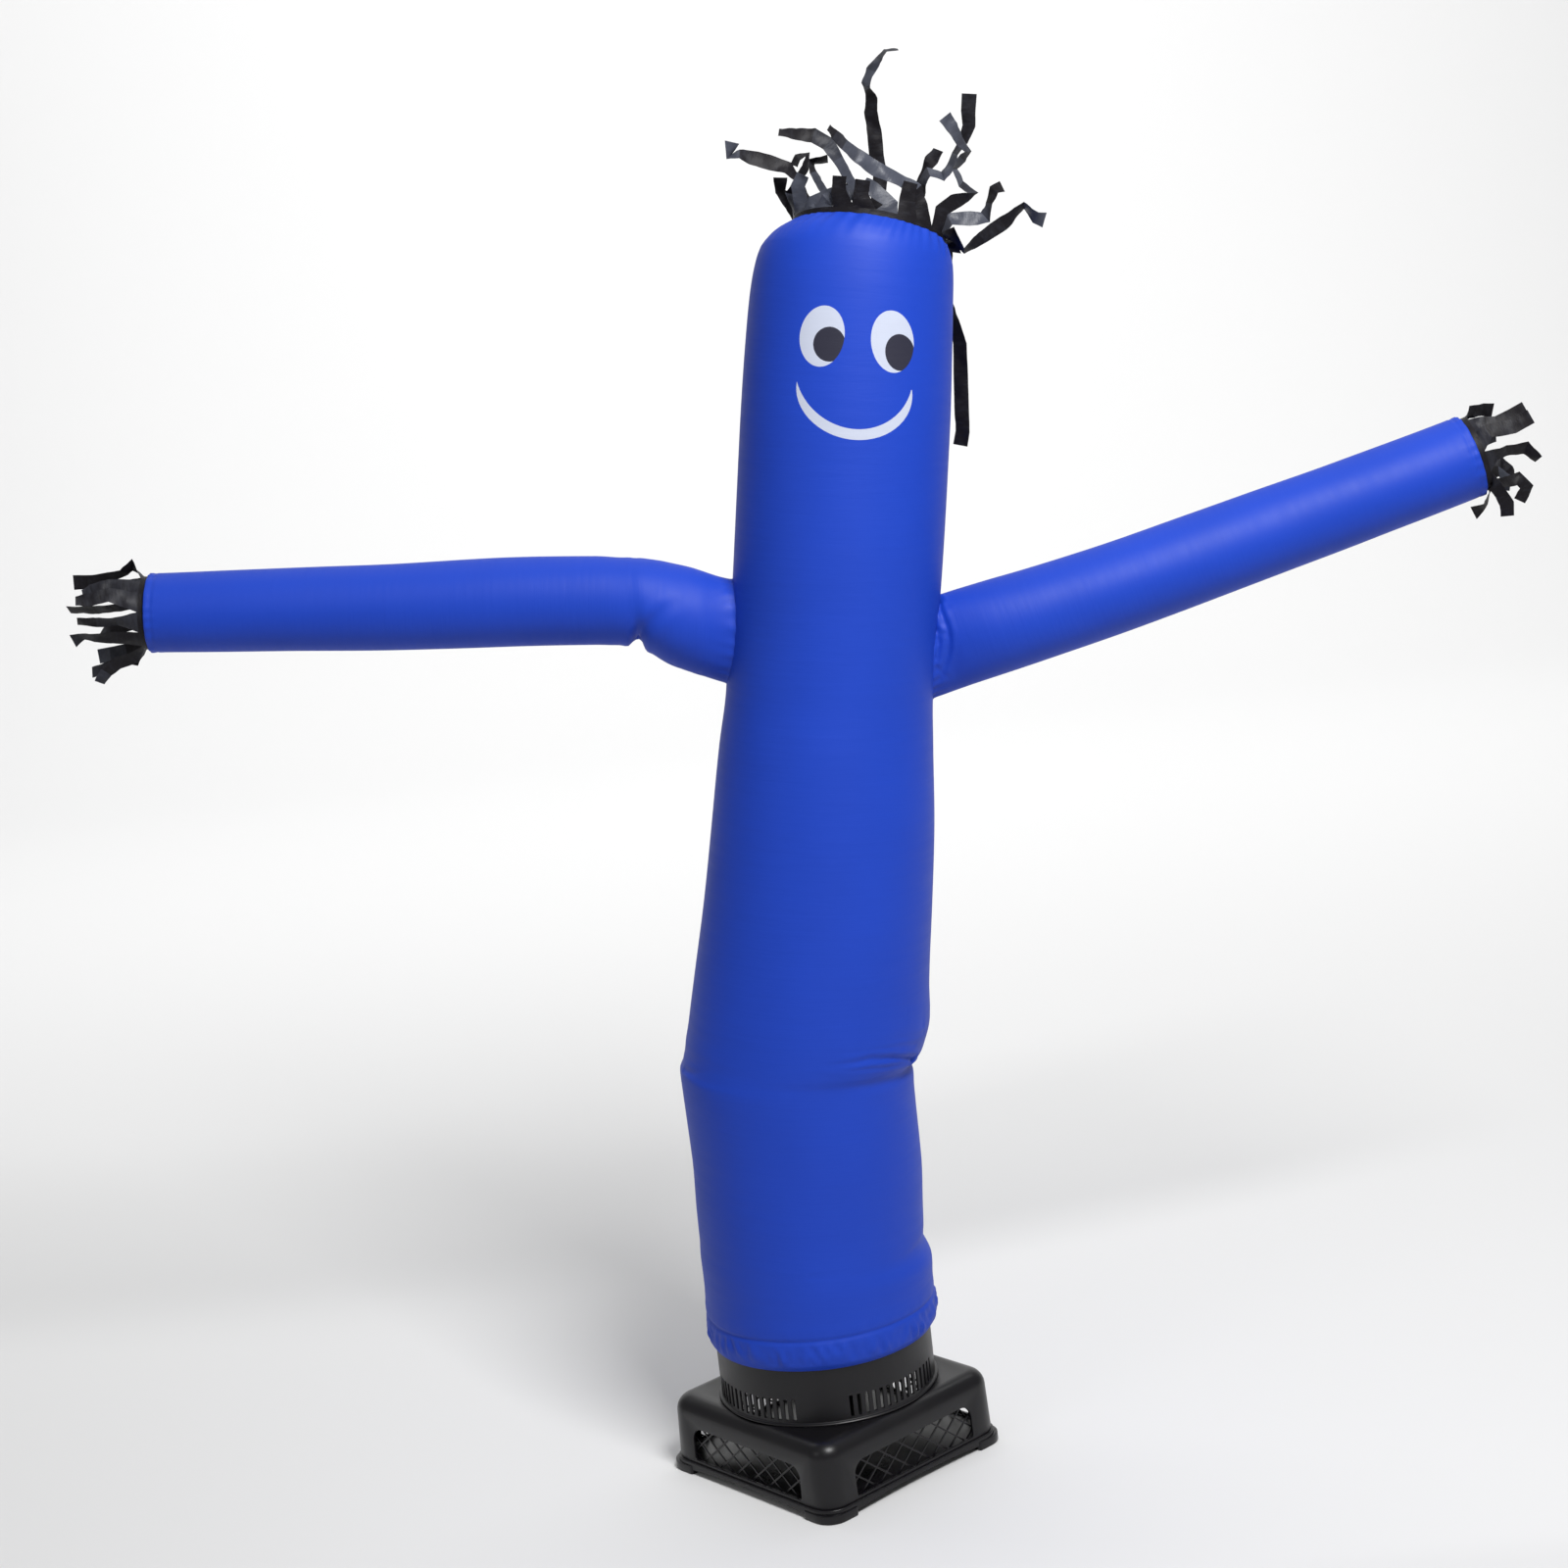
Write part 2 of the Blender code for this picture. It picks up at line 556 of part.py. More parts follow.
def cloth_tubes(collection, cutters, parent):
    """Body tube with two armholes, and two arms whose ends follow the body's side."""
    body = new_object("dancer_body", loft(body_rings())[0], collection, BLUE_NYLON, parent)
    add_wall(body, CLOTH)
    grown = loft(body_rings(grow=GAP), close_ends=True)[0]
    body_cutter = new_object("body_cutter", grown, cutters, None, parent)
    arms = (("arm_left", LEFT_ARM, LEFT_ARM_LEAN), ("arm_right", RIGHT_ARM, RIGHT_ARM_LEAN))
    for name, arm, lean in arms:
        hole = loft(armhole_rings(arm, lean), close_ends=True)[0]
        hole_cutter = new_object(f"{name}_hole", hole, cutters, None, parent)
        add_boolean(body, hole_cutter, "DIFFERENCE")
        sleeve = new_object(name, loft(arm_rings(arm, lean))[0], collection, BLUE_NYLON, parent)
        add_wall(sleeve, CLOTH)
        add_boolean(sleeve, body_cutter, "DIFFERENCE")


def strip_nodes(root, rise, side, strip):
    """Middle points and width directions of a strip from its root to its tip."""
    points = [root + rise * STRIP_STAND]
    runs = [rise]
    lean = math.radians(strip.lean)
    for bend in strip.bends:
        angle = math.radians(bend.heading)
        run = Vector((
            math.cos(angle) * math.cos(lean), math.sin(lean), math.sin(angle) * math.cos(lean)
        ))
        runs.append(run)
        points.append(points[-1] + run * bend.length / 1000)
    widths = [side]
    for index, bend in enumerate(strip.bends, start=1):
        along = (runs[index] + runs[min(index + 1, len(runs) - 1)]).normalized()
        flat = along.cross(Vector((0, 1, 0))).normalized()
        edge_on = along.cross(flat).normalized()
        if flat.dot(widths[-1]) < 0:
            flat.negate()
        if edge_on.dot(widths[-1]) < 0:
            edge_on.negate()
        roll = math.radians(bend.roll)
        widths.append(flat * math.cos(roll) + edge_on * math.sin(roll))
    return points, widths


def fringe(name, centre, axis, first_spoke, radius, strip_table, collection, parent):
    """Strips that grow out of the edge of one narrow ring of backing."""
    second_spoke = axis.cross(first_spoke)
    pitch = 2 * math.pi / len(strip_table)
    half_facet = math.asin(STRIP_WIDTH / 2 / radius)
    bm = bmesh.new()
    corners = []
    for index in range(len(strip_table)):
        for turn in (index * pitch - half_facet, index * pitch + half_facet):
            spoke = first_spoke * math.cos(turn) + second_spoke * math.sin(turn)
            low = bm.verts.new(centre + spoke * radius - axis * BACKING_DEPTH)
            high = bm.verts.new(centre + spoke * radius + axis * BACKING_PROUD)
            corners.append((low, high))
    for index, (low, high) in enumerate(corners):
        next_low, next_high = corners[(index + 1) % len(corners)]
        bm.faces.new((low, next_low, next_high, high))
    for index, strip in enumerate(strip_table):
        left, right = corners[2 * index][1], corners[2 * index + 1][1]
        side = (right.co - left.co).normalized()
        root = (left.co + right.co) / 2
        for point, width in zip(*strip_nodes(root, axis, side, strip)):
            next_left = bm.verts.new(point - width * STRIP_WIDTH / 2)
            next_right = bm.verts.new(point + width * STRIP_WIDTH / 2)
            bm.faces.new((left, right, next_right, next_left))
            left, right = next_left, next_right
    obj = new_object(name, bm, collection, BLACK_SATIN, parent)
    add_wall(obj, STRIP_CLOTH, offset=0.0, even=False)
    return obj


def all_fringes(collection, parent):
    mouth = BODY[-1]
    across, _, out = section_axes(mouth)
    centre = Vector((mouth.x, mouth.y, mouth.z))
    fringe("hair_fringe", centre, out, across, HAIR_BACKING_RADIUS, HAIR, collection, parent)
    hands = (
        ("hand_fringe_left", LEFT_ARM[-1], LEFT_ARM_LEAN, -1, LEFT_BACKING_RADIUS, LEFT_HAND),
        ("hand_fringe_right", RIGHT_ARM[-1], RIGHT_ARM_LEAN, 1, RIGHT_BACKING_RADIUS, RIGHT_HAND),
    )
    for name, cuff, lean, reach, radius, strip_table in hands:
        out = Vector((math.cos(lean), 0.0, -math.sin(lean))) * reach
        up = Vector((math.sin(lean), 0.0, math.cos(lean)))
        centre = Vector((cuff.x, cuff.y, cuff.z))
        fringe(name, centre, out, up, radius, strip_table, collection, parent)


def empty_frame(name, collection, parent=None):
    frame = bpy.data.objects.new(name, None)
    frame.parent = parent
    collection.objects.link(frame)
    return frame


def blower(collection, cutters, parent):
    frame = empty_frame("blower_frame", collection, parent)
    frame.rotation_euler.z = BLOWER_TURN
    blower_pan(collection, cutters, frame)
    blower_housing(collection, cutters, frame)
    blower_collar(collection, frame)
    sides = ("front_left", "front_right", "back_right", "back_left")
    for index, side in enumerate(sides):
        blower_grille(f"grille_{side}", index, collection, frame)


def main():
    clear_scene()
    figure = new_collection("inflatable_air_dancer")
    cutters = new_collection("cutters")
    outlet_axis = empty_frame("outlet_axis", figure)
    outlet_axis.location.x = AXIS_X
    blower(figure, cutters, outlet_axis)
    cloth_tubes(figure, cutters, outlet_axis)
    all_fringes(figure, outlet_axis)


main()
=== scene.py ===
"""Inflatable air dancer on its blower: the cloth, ribbons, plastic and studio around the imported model.

Metres, +Z up, the figure looks along -Y. Every table is measured from the axis of the blower's
round outlet, which stands at AXIS_X, as in the part's own source.
"""
import bisect
import math
from collections import namedtuple

import bmesh
import bpy
import numpy as np
from bpy.props import FloatProperty, FloatVectorProperty, IntProperty, PointerProperty
from mathutils import Matrix, Vector, noise


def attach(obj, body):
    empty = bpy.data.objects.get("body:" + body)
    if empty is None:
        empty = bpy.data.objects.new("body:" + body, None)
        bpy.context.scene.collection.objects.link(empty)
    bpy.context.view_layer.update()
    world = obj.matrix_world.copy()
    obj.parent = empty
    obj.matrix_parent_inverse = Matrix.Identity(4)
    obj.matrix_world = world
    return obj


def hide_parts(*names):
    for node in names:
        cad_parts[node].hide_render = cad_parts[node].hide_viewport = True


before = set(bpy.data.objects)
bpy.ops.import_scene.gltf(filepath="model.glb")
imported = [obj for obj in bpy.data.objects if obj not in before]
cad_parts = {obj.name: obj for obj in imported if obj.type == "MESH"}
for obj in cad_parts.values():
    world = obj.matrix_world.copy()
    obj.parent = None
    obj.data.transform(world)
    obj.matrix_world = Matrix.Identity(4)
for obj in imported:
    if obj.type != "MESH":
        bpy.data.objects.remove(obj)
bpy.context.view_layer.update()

bl_info = {
    "name": "Air Dancer and Blower",
    "version": (1, 0, 0),
    "blender": (4, 5, 0),
    "location": "3D View > Sidebar > Air Dancer",
    "description": "Builds an inflated nylon tube figure with ribbon fringes on a square plastic blower",
    "category": "Add Mesh",
}

AXIS_X = -0.093


def linear(code):
    """An sRGB hex colour as linear red, green and blue."""
    values = [int(code[i:i + 2], 16) / 255 for i in (1, 3, 5)]
    return [v / 12.92 if v <= 0.04045 else ((v + 0.055) / 1.055) ** 2.4 for v in values]


def mm(*values):
    """Millimetres as metres."""
    return [value / 1000 for value in values]


# Blower, from the part's own sizes. Its pieces are made square to the axes and then turned
BLOWER_TURN = math.radians(-49.28)
PLASTIC = 0.0035
HOUSING_LOW = 0.0188
HOUSING_TOP = 0.109
HOUSING_DRAFT = 0.985
PAN_LIP_LOW = 0.007
PAN_TOP = 0.0185
PAN_UNDERSIDE = 0.0135
PAN_ARCH = 0.005
FOOT_HALF = 0.1725
FOOT_LENGTH = 0.054
FOOT_HEIGHT = 0.0125
WINDOW_LOW = 0.023
WINDOW_HIGH = 0.072
COLLAR_LOW = 0.1093
COLLAR_TOP = 0.250
SLOT_LOW = 0.117
SLOT_HIGH = 0.1475
# The bead at the collar's foot, out from the wall and up, in mm
FOOT_BEAD = (3.0, 0), (3.6, 0.8), (3.6, 1.8), (2.8, 2.7), (1.0, 3.2), (0, 4.2)

# Body tube, section by section: each is tilted down to +X by tilt and nods back by nod
Section = namedtuple("Section", "z x y half_width half_depth tilt nod")
BODY = [Section(*mm(*row[:5]), *row[5:]) for row in (
    (191.5, 0.5, 0, 157, 157, 0, 0), (200, 1, 0, 162, 162, 0, 0), (213, 1.4, 0, 163.7, 163.7, 0, 0),
    (235, 1.7, 0, 162.6, 162.6, 0, 0), (265, 2.8, 0, 161.7, 161.2, 3, 0),
    (300, 3.5, 0, 163.4, 161, 6.5, 0), (330, 0.6, 0, 158.8, 160, 6.5, 0),
    (365, 1.7, 0, 159.4, 159, 6.5, 0), (450, 6.2, 0, 160.7, 159, 6.5, 0),
    (550, 5.5, 0, 161.8, 160, 6.5, 0), (573.5, 6.4, 0, 162.6, 160, 6.5, 0),
    (586.5, 8.6, 0, 159, 160, 6.5, 0), (600.5, 17.7, 0, 163.7, 162, 6.5, 0),
    (615, 22.8, 0, 165.7, 163, 6.5, 0), (641.5, 31.2, 0, 166.8, 164, 6.5, 0),
    (697, 40.7, 0, 163, 162, 6.5, 0), (807, 61.8, 0, 157.3, 156, 6.5, 0),
    (915, 80.6, 0, 152.5, 151.5, 6.5, 0), (1023, 97.1, 0, 145.7, 145.5, 6.5, 0),
    (1100, 110.5, 0, 140.7, 141, 6.5, 0), (1250, 136.8, 0, 140.7, 141, 6.5, 0),
    (1430, 166.3, 4, 140.7, 140.5, 6.5, 0), (1560, 187, 7, 137.4, 137, 8, 0),
    (1620, 197.5, 9, 134.5, 134, 10.5, 4), (1645, 203, 10, 132.2, 131, 11.5, 8),
    (1665, 208.5, 11, 128.3, 127, 12.5, 11), (1679, 216, 12, 120, 119, 14, 13.5),
    (1691.5, 227, 13, 105, 105, 15, 15),
)]

# Rows of cloth: close together where it is sewn, folded or gathered
BODY_ROWS = [mm(*row) for row in (
    (191.5, 240, 2.2), (240, 300, 6), (300, 345, 4.5), (345, 540, 14), (540, 650, 3), (650, 1050, 14),
    (1050, 1290, 8), (1290, 1610, 14), (1610, 1665, 5.5), (1665, 1691.5, 1.7),
)]

# Where the tube buckles: height, azimuth, half height, half spread and depth
Fold = namedtuple("Fold", "z azimuth half_height half_spread depth")
BODY_FOLDS = [Fold(*row) for row in (
    (0.5865, -6.0, 0.010, 34.0, 0.0045),
    (0.6150, -60.0, 0.012, 40.0, -0.0012),
    (0.3300, -10.0, 0.014, 42.0, 0.0024),
    (0.2350, -90.0, 0.006, 180.0, 0.0008),
)]

Crease = namedtuple("Crease", "points half_width depth end_depth")


def creases(*rows):
    """Creases on the front, from rows of half width, depth at both ends, and points as x and z, in mm."""
    return [Crease([mm(*point) for point in points], *mm(width, depth, end_depth))
            for width, depth, end_depth, *points in rows]


BODY_CREASES = creases(
    (3.4, 5.6, 0.3, (168, 588), (161, 595), (135, 609), (106, 617), (85, 617), (50, 619)),
    (2.4, 3, 0.3, (166, 584), (150, 592), (134, 597), (105, 603), (80, 607), (56, 612)),
    (2.4, 0.9, 0.1, (186, 632), (160, 645), (127, 660)),
    (2.2, 1, 0.1, (186, 622), (150, 633), (108, 642)),
    (2.2, 1.2, 0.1, (172, 611), (150, 621), (120, 627), (75, 634)),
    (2.2, 0.6, 0.1, (165, 661), (120, 673)),
    (2, 0.5, 0.1, (180, 680), (135, 694)),
    (2, 0.8, 0.1, (150, 615), (110, 622), (45, 631)),
    (2.6, 0.8, 0.2, (-10, 328), (20, 327), (45, 326)),
    (3, 1.4, 0.1, (158, 322), (140, 318), (100, 317)),
    (2.4, 0.6, 0.1, (40, 388), (62, 392)),
    (3, 1.4, 0.1, (-148, 600), (-135, 603), (-110, 612)),
)

# Sleeves ring by ring: half heights, and half depths that are flatter where the sleeve is sewn on
Ring = namedtuple("Ring", "x z y radius depth")
LEFT_ARM = [Ring(*mm(*row)) for row in (
    (30, 1180, 0, 70, 40), (-21, 1195, 0, 70.6, 47), (-60, 1212, 1, 71, 59), (-97, 1228, 3, 68, 64),
    (-122, 1242, 4, 61.2, 62.8), (-134, 1250.5, 5, 55, 61.2), (-148, 1249.5, 5, 58.6, 60.4),
    (-190, 1254.5, 7, 60, 60.2), (-305, 1265, 12, 60.2, 60.2), (-463, 1275.5, 20, 58.2, 58.2),
    (-620, 1289, 27, 56.2, 56.2), (-792, 1303.5, 35, 53.7, 53.7),
)]
RIGHT_ARM = [Ring(*mm(*row)) for row in (
    (205, 1126, 0, 65.2, 37), (264, 1140.5, 2, 65.2, 40), (294, 1147.5, 3, 65.2, 48),
    (348, 1158, 6, 64.5, 59), (403, 1168, 10, 63.2, 63), (498, 1187, 16, 61.8, 61.8),
    (634, 1218, 26, 60.3, 60.3), (770, 1249.5, 36, 58.6, 58.6), (905, 1281.5, 47, 57.4, 57.4),
    (1014, 1308.5, 55, 56.8, 56.8),
)]

# Each sleeve with the lean of its cuff in degrees
LEFT = LEFT_ARM, 6.5
RIGHT = RIGHT_ARM, -15

LEFT_CREASES = creases(
    (6.6, 8.8, 0.6, (-139, 1193), (-134, 1206), (-126, 1217), (-116, 1227), (-101, 1238), (-84, 1247)),
    (2.4, 2, 0.2, (-145, 1200), (-141, 1213), (-138, 1228), (-139, 1240)),
    (2, 1.2, 0.1, (-150, 1196), (-149, 1208), (-146, 1220)),
    (4, 1.4, 0.2, (-98, 1160), (-92, 1172), (-80, 1184)),
    (3, 1.2, 0.1, (-64, 1143), (-56, 1150), (-44, 1156)),
    (2.4, 1.4, 0.1, (-8, 1256), (-18, 1250), (-34, 1247)),
    (2, 1, 0.1, (-10, 1236), (-22, 1233)),
    (2.6, 1.4, 0.1, (-20, 1140), (-32, 1146), (-46, 1148)),
)
RIGHT_CREASES = creases(
    (3, 3, 1.2, (270, 1206), (268, 1196), (270.5, 1186), (274.5, 1172), (276.7, 1160), (274.5, 1141),
     (267, 1119), (259, 1100)),
    (2, 2.4, 1, (258, 1169), (265, 1164), (275, 1158)),
    (1.8, 1.6, 0.8, (258, 1156), (265, 1159), (276, 1166)),
    (2.2, 2.2, 1, (262, 1186), (259.5, 1170), (262, 1151), (257, 1128)),
    (1.8, 1.4, 0.6, (258, 1139), (266, 1143), (275, 1141)),
    (1.6, 1.6, 0.6, (270, 1203), (275.5, 1193)),
    (1.6, 1.6, 0.6, (274.5, 1205), (280, 1194)),
    (2.2, 1.4, 0.3, (255, 1118), (262, 1108), (272, 1100)),
)

# Fringes: a bend is a length in mm, a heading above +X and the roll out of the front view, in
# degrees, and how much painted sheen its stretch gets, 0 to 1: the lights' reflection on the satin painted
# grey
Bend = namedtuple("Bend", "length heading roll light")
Strip = namedtuple("Strip", "lean bends")


def strips(*rows):
    return [Strip(lean, [Bend(*bend) for bend in bends]) for lean, *bends in rows]


HAIR = strips(
    (25, (12, -10, 60, 0), (16, -70, 60, 0)),
    (14, (12, -10, 45, 0), (30, -88, 80, 0), (43, -94, 75, 0), (30, -82, 50, 0), (31, -80, 30, 0),
     (43, -93, 15, 0), (54, -93, 10, 0), (27, -92, 20, 0), (20, -104, 10, 0)),
    (2, (51, 49, 30, 0.5), (27, -5, 15, 1), (22, -2, 30, 1), (19, 69, 70, 0.5), (19, 64, 50, 0),
     (12, 14, 40, 0)),
    (-3, (50, 76, 40, 0), (42, 76, 60, 0), (18, 54, 50, 0.4), (20, -24, 50, 1), (17, 45, 60, 1),
     (17, 66, 70, 0.9), (20, 49, 55, 0.3), (21, 64, 35, 0.1), (20, 87, 20, 0.1), (22, 81, 5, 0.1)),
    (9, (50, 61, 30, 0), (48, 61, 50, 0), (23, 64, 60, 0), (15, 55, 20, 0), (17, 48, 50, 0.1)),
    (1, (50, 78, 15, 0), (50, 78, 10, 0), (27, 95, 10, 0.1), (30, 89, 10, 0), (30, 94, 30, 0),
     (16, 80, 40, 0), (14, 107, 70, 0), (9, 96, 55, 0.8), (18, 62, 50, 1), (18, 47, 65, 0.5),
     (14, 46, 75, 0.3), (17, -2, 80, 0.3)),
    (2, (40, 77, 40, 0), (33, 77, 45, 0), (25, 116, 50, 0.9), (29, 114, 40, 0.8), (24, 117, 10, 0.5),
     (23, 144, 5, 0.3), (24, 170, 40, 0), (23, 167, 60, 0)),
    (0, (22, 68, 30, 0), (12, 60, 45, 0)),
    (1, (35, 68, 50, 0.3), (24, 68, 55, 0.3), (21, 120, 60, 0.7), (15, 113, 60, 0.7), (14, 92, 60, 0.1),
     (22, 4, 60, 0)),
    (1, (40, 71, 60, 0), (23, 114, 60, 0), (13, 98, 60, 0), (16, 49, 60, 0), (17, 74, 65, 0),
     (14, 190, 60, 0), (12, 239, 60, 0)),
    (2, (26, 96, 30, 0), (24, 122, 45, 0), (18, 84, 20, 0)),
    (1, (33, 92, 40, 0.7), (20, 54, 60, 0), (21, 123, 35, 0), (24, 158, 10, 0), (26, 159, 25, 0),
     (16, 156, 55, 0.1), (14, 188, 60, 0.8), (19, 72, 15, 0.9)),
    (-3, (14, 70, 20, 0.8), (22, 95, 25, 0.9), (16, 60, 35, 0.9)),
    (-8, (10, 50, 15, 0.8), (26, 16, 10, 0.8), (24, 8, 10, 0.7)),
    (-8, (10, 60, 15, 0.8), (26, 14, 10, 0.9), (22, -6, 15, 0.8)),
    (-2, (22, 100, 20, 0), (18, 80, 30, 0)),
    (-4, (18, 101, 10, 0), (19, 76, 15, 0)),
    (9, (12, 60, 10, 0.7), (28, 135, 10, 0.9), (16, 142, 30, 0.9)),
    (1, (24, 84, 10, 0), (20, 70, 20, 0)),
    (-8, (22, 98, 10, 0), (22, 97, 30, 0), (28, 146, 40, 1), (32, 150, 10, 1), (28, 139, 25, 1),
     (23, 135, 45, 0.7), (18, 129, 50, 0.2), (12, 125, 65, 0)),
    (-4, (25, 69, 20, 0), (20, 28, 10, 0), (27, 18, 45, 0), (20, 139, 60, 0.3), (21, 109, 65, 1),
     (16, 45, 55, 0.6), (12, 45, 60, 0.2), (20, 123, 50, 0.5), (18, 113, 30, 0.7), (16, 120, 20, 0.8)),
    (-6, (12, 10, 30, 0), (28, -61, 70, 0), (29, 30, 35, 0), (32, 28, 20, 0.1), (36, 34, 65, 0),
     (22, -52, 45, 0.9), (12, -22, 10, 1)),
)
LEFT_HAND = strips(
    (0, (23, 121, 30, 0.2), (17, 214, 60, 0), (41, 190, 20, 0), (28, 176, 0, 0)),
    (4, (34, 185, 40, 0.1), (21, 182, 40, 0), (18, 187, 60, 0)),
    (8, (51, 195, 50, 0.2), (31, 180, 50, 0.1), (40, 174, 55, 0)),
    (10, (44, 197, 30, 0), (22, 193, 40, 0), (12, 169, 60, 0.1)),
    (8, (45, 209, 30, 0), (24, 187, 20, 0.4), (17, 186, 10, 0.8)),
    (3, (27, 227, 50, 0), (19, 167, 60, 0), (26, 200, 50, 0), (22, 193, 50, 0.3)),
    (-3, (20, 218, 30, 0), (24, 191, 30, 0), (19, 212, 40, 0), (17, 230, 55, 0.3)),
    (-6, (31, 169, 30, 0), (30, 173, 50, 0), (14, 165, 60, 0.1), (15, 197, 20, 0.2)),
    (-8, (27, 169, 50, 0.3), (27, 176, 45, 0.2), (25, 169, 55, 0)),
    (-9, (39, 157, 30, 0.2), (24, 187, 30, 0.1), (20, 179, 60, 0.1)),
    (-5, (40, 174, 20, 0.2), (25, 187, 30, 0.2), (12, 198, 50, 0.3)),
)
RIGHT_HAND = strips(
    (0, (14, 40, 20, 0.1), (15, 5, 30, 0.1), (14, -12, 10, 0)),
    (-4, (14, 6, 20, 0.2), (20, -3, 30, 0.1), (22, 19, 15, 0), (20, 24, 10, 0)),
    (-8, (17, 52, 30, 0.2), (16, 3, 20, 0), (18, 6, 20, 0.1), (26, 25, 5, 0)),
    (-10, (13, 39, 30, 0.2), (16, 14, 40, 0.1), (25, 3, 30, 0), (23, -49, 65, 0)),
    (-8, (11, -69, 40, 0.1), (15, -61, 45, 0), (14, -65, 30, 0), (17, -93, 45, 0)),
    (-3, (16, -108, 65, 0), (10, -117, 60, 0), (18, -154, 10, 0)),
    (3, (31, 3, 50, 0), (17, 10, 20, 0), (17, -50, 10, 0), (21, -121, 20, 0)),
    (6, (32, 0, 50, 0), (14, -50, 20, 1), (17, -103, 10, 0.6)),
    (10, (37, -29, 50, 0), (15, 13, 30, 0.2), (16, -53, 10, 0.1), (11, -67, 30, 0)),
    (10, (28, -20, 30, 0.4), (24, 14, 30, 0.2)),
    (5, (12, 38, 65, 0.3), (14, 32, 70, 0.4)),
)
BACKING_DEPTH = 0.011
BAND_PROUD = 0.009
HAIR_BACKING_RADIUS = 0.1012
LEFT_BACKING_RADIUS = 0.0493
RIGHT_BACKING_RADIUS = 0.0522

# Printed face, as ovals on the front: middle x and z, half length, half breadth and lean
Oval = namedtuple("Oval", "x z half_length half_breadth lean")
OVALS = {
    "left_white": Oval(0.1481, 1.5738, 0.0389, 0.0283, 73.7),
    "right_white": Oval(0.2373, 1.5565, 0.0397, 0.0280, 91.5),
    "left_pupil": Oval(0.1560, 1.5627, 0.0221, 0.0205, 79.9),
    "right_pupil": Oval(0.2455, 1.5416, 0.0236, 0.0193, 95.3),
    "smile_outer": Oval(0.1819, 1.4977, 0.0755, 0.0593, 163.5),
    "smile_inner": Oval(0.1843, 1.5228, 0.0776, 0.0697, 147.1),
}
SMILE_TIPS = ((0.1097, 1.5214), (0.2557, 1.4920))


def tint(name, words, code):
    return FloatVectorProperty(name=name, description=words, subtype="COLOR", default=linear(code))


def metres(name, words, value):
    return FloatProperty(name=name, description=words, unit="LENGTH", default=value)


def watts(name, words, value):
    return FloatProperty(name=name, description=words, unit="POWER", default=value)


def whole(name, words, value):
    return IntProperty(name=name, description=words, default=value)


def degrees(name, words, value):
    return FloatProperty(name=name, description=words, subtype="ANGLE", default=math.radians(value))


class ClothSettings(bpy.types.PropertyGroup):
    nylon: tint("Nylon", "Colour of the tube's cloth", "#133bac")
    print_light: tint("Light print", "Colour of the eyes and the smile", "#b3b9ca")
    print_dark: tint("Dark print", "Colour of the pupils", "#262634")
    ribbon_dark: tint("Ribbon back", "Colour of the ribbon's dull side", "#141216")
    # Painted sheen: the grey that stands for the lights reflected on the satin's face
    ribbon_painted_sheen: tint("Ribbon face", "Colour of the ribbon's bright side", "#42454f")
    thickness: metres("Cloth thickness", "Thickness of the tube's cloth", 0.0006)
    ribbon_width: metres("Ribbon width", "Width of one strip of fringe", 0.020)
    ribbon_thickness: metres("Ribbon thickness", "Thickness of one strip", 0.0005)
    body_columns: whole("Body columns", "Columns of cloth around the body tube", 232)
    arm_columns: whole("Arm columns", "Columns of cloth around an arm", 112)


class BlowerSettings(bpy.types.PropertyGroup):
    plastic: tint("Plastic", "Colour of the moulded plastic", "#0f0e11")
    housing_width: metres("Housing width", "Width of the cover over its walls", 0.335)
    housing_corner: metres("Corner radius", "Radius of the cover's upright corners", 0.033)
    housing_edge: metres("Edge radius", "Radius of the cover's top edge", 0.022)
    window_width: metres("Window width", "Width of the air window in each side", 0.226)
    window_corner: metres("Window corner", "Radius of a window's upper corners", 0.019)
    pan_width: metres("Pan width", "Width of the base pan", 0.341)
    pan_corner: metres("Pan corner", "Radius of the base pan's corners", 0.035)
    collar_radius: metres("Collar radius", "Outer radius of the round outlet", 0.1525)
    slots: whole("Slots", "Slots in each group of the collar", 15)
    slot_pitch: degrees("Slot pitch", "Angle between two slots", 4.25)
    slot_arc: degrees("Slot width", "Angle that one slot opens", 2.05)


class StudioSettings(bpy.types.PropertyGroup):
    floor: tint("Floor", "Colour of the floor and the backdrop", "#d8d8d8")
    key_power: watts("Key light", "Power of the large light at the upper right", 190.0)
    fill_power: watts("Fill light", "Power of the light at the left", 10.0)
    wash_power: watts("Backdrop light", "Power of the light on the backdrop", 850.0)
    lens: FloatProperty(name="Lens", description="Focal length of the camera", default=0.063, unit="CAMERA")


def cloth():
    return bpy.context.scene.dancer_cloth


def blower():
    return bpy.context.scene.dancer_blower


def studio():
    return bpy.context.scene.dancer_studio


# Materials


def add_node(tree, kind, links=None, **settings):
    """Adds a shader node with its settings, and links or sets its inputs by name or number."""
    node = tree.nodes.new("ShaderNode" + kind)
    for name, value in settings.items():
        setattr(node, name, value)
    for name, value in (links or {}).items():
        if isinstance(value, bpy.types.NodeSocket):
            tree.links.new(value, node.inputs[name])
        else:
            node.inputs[name].default_value = value
    return node


def new_material(name, roughness, specular=0.5):
    material = bpy.data.materials.new(name)
    material.use_nodes = True
    shader = material.node_tree.nodes["Principled BSDF"]
    shader.inputs["Roughness"].default_value = roughness
    shader.inputs["Specular IOR Level"].default_value = specular
    return material, material.node_tree, shader


def opaque(colour):
    return (*colour, 1.0)


def scaled(colour, factor):
    return opaque([min(c * factor, 1.0) for c in colour])


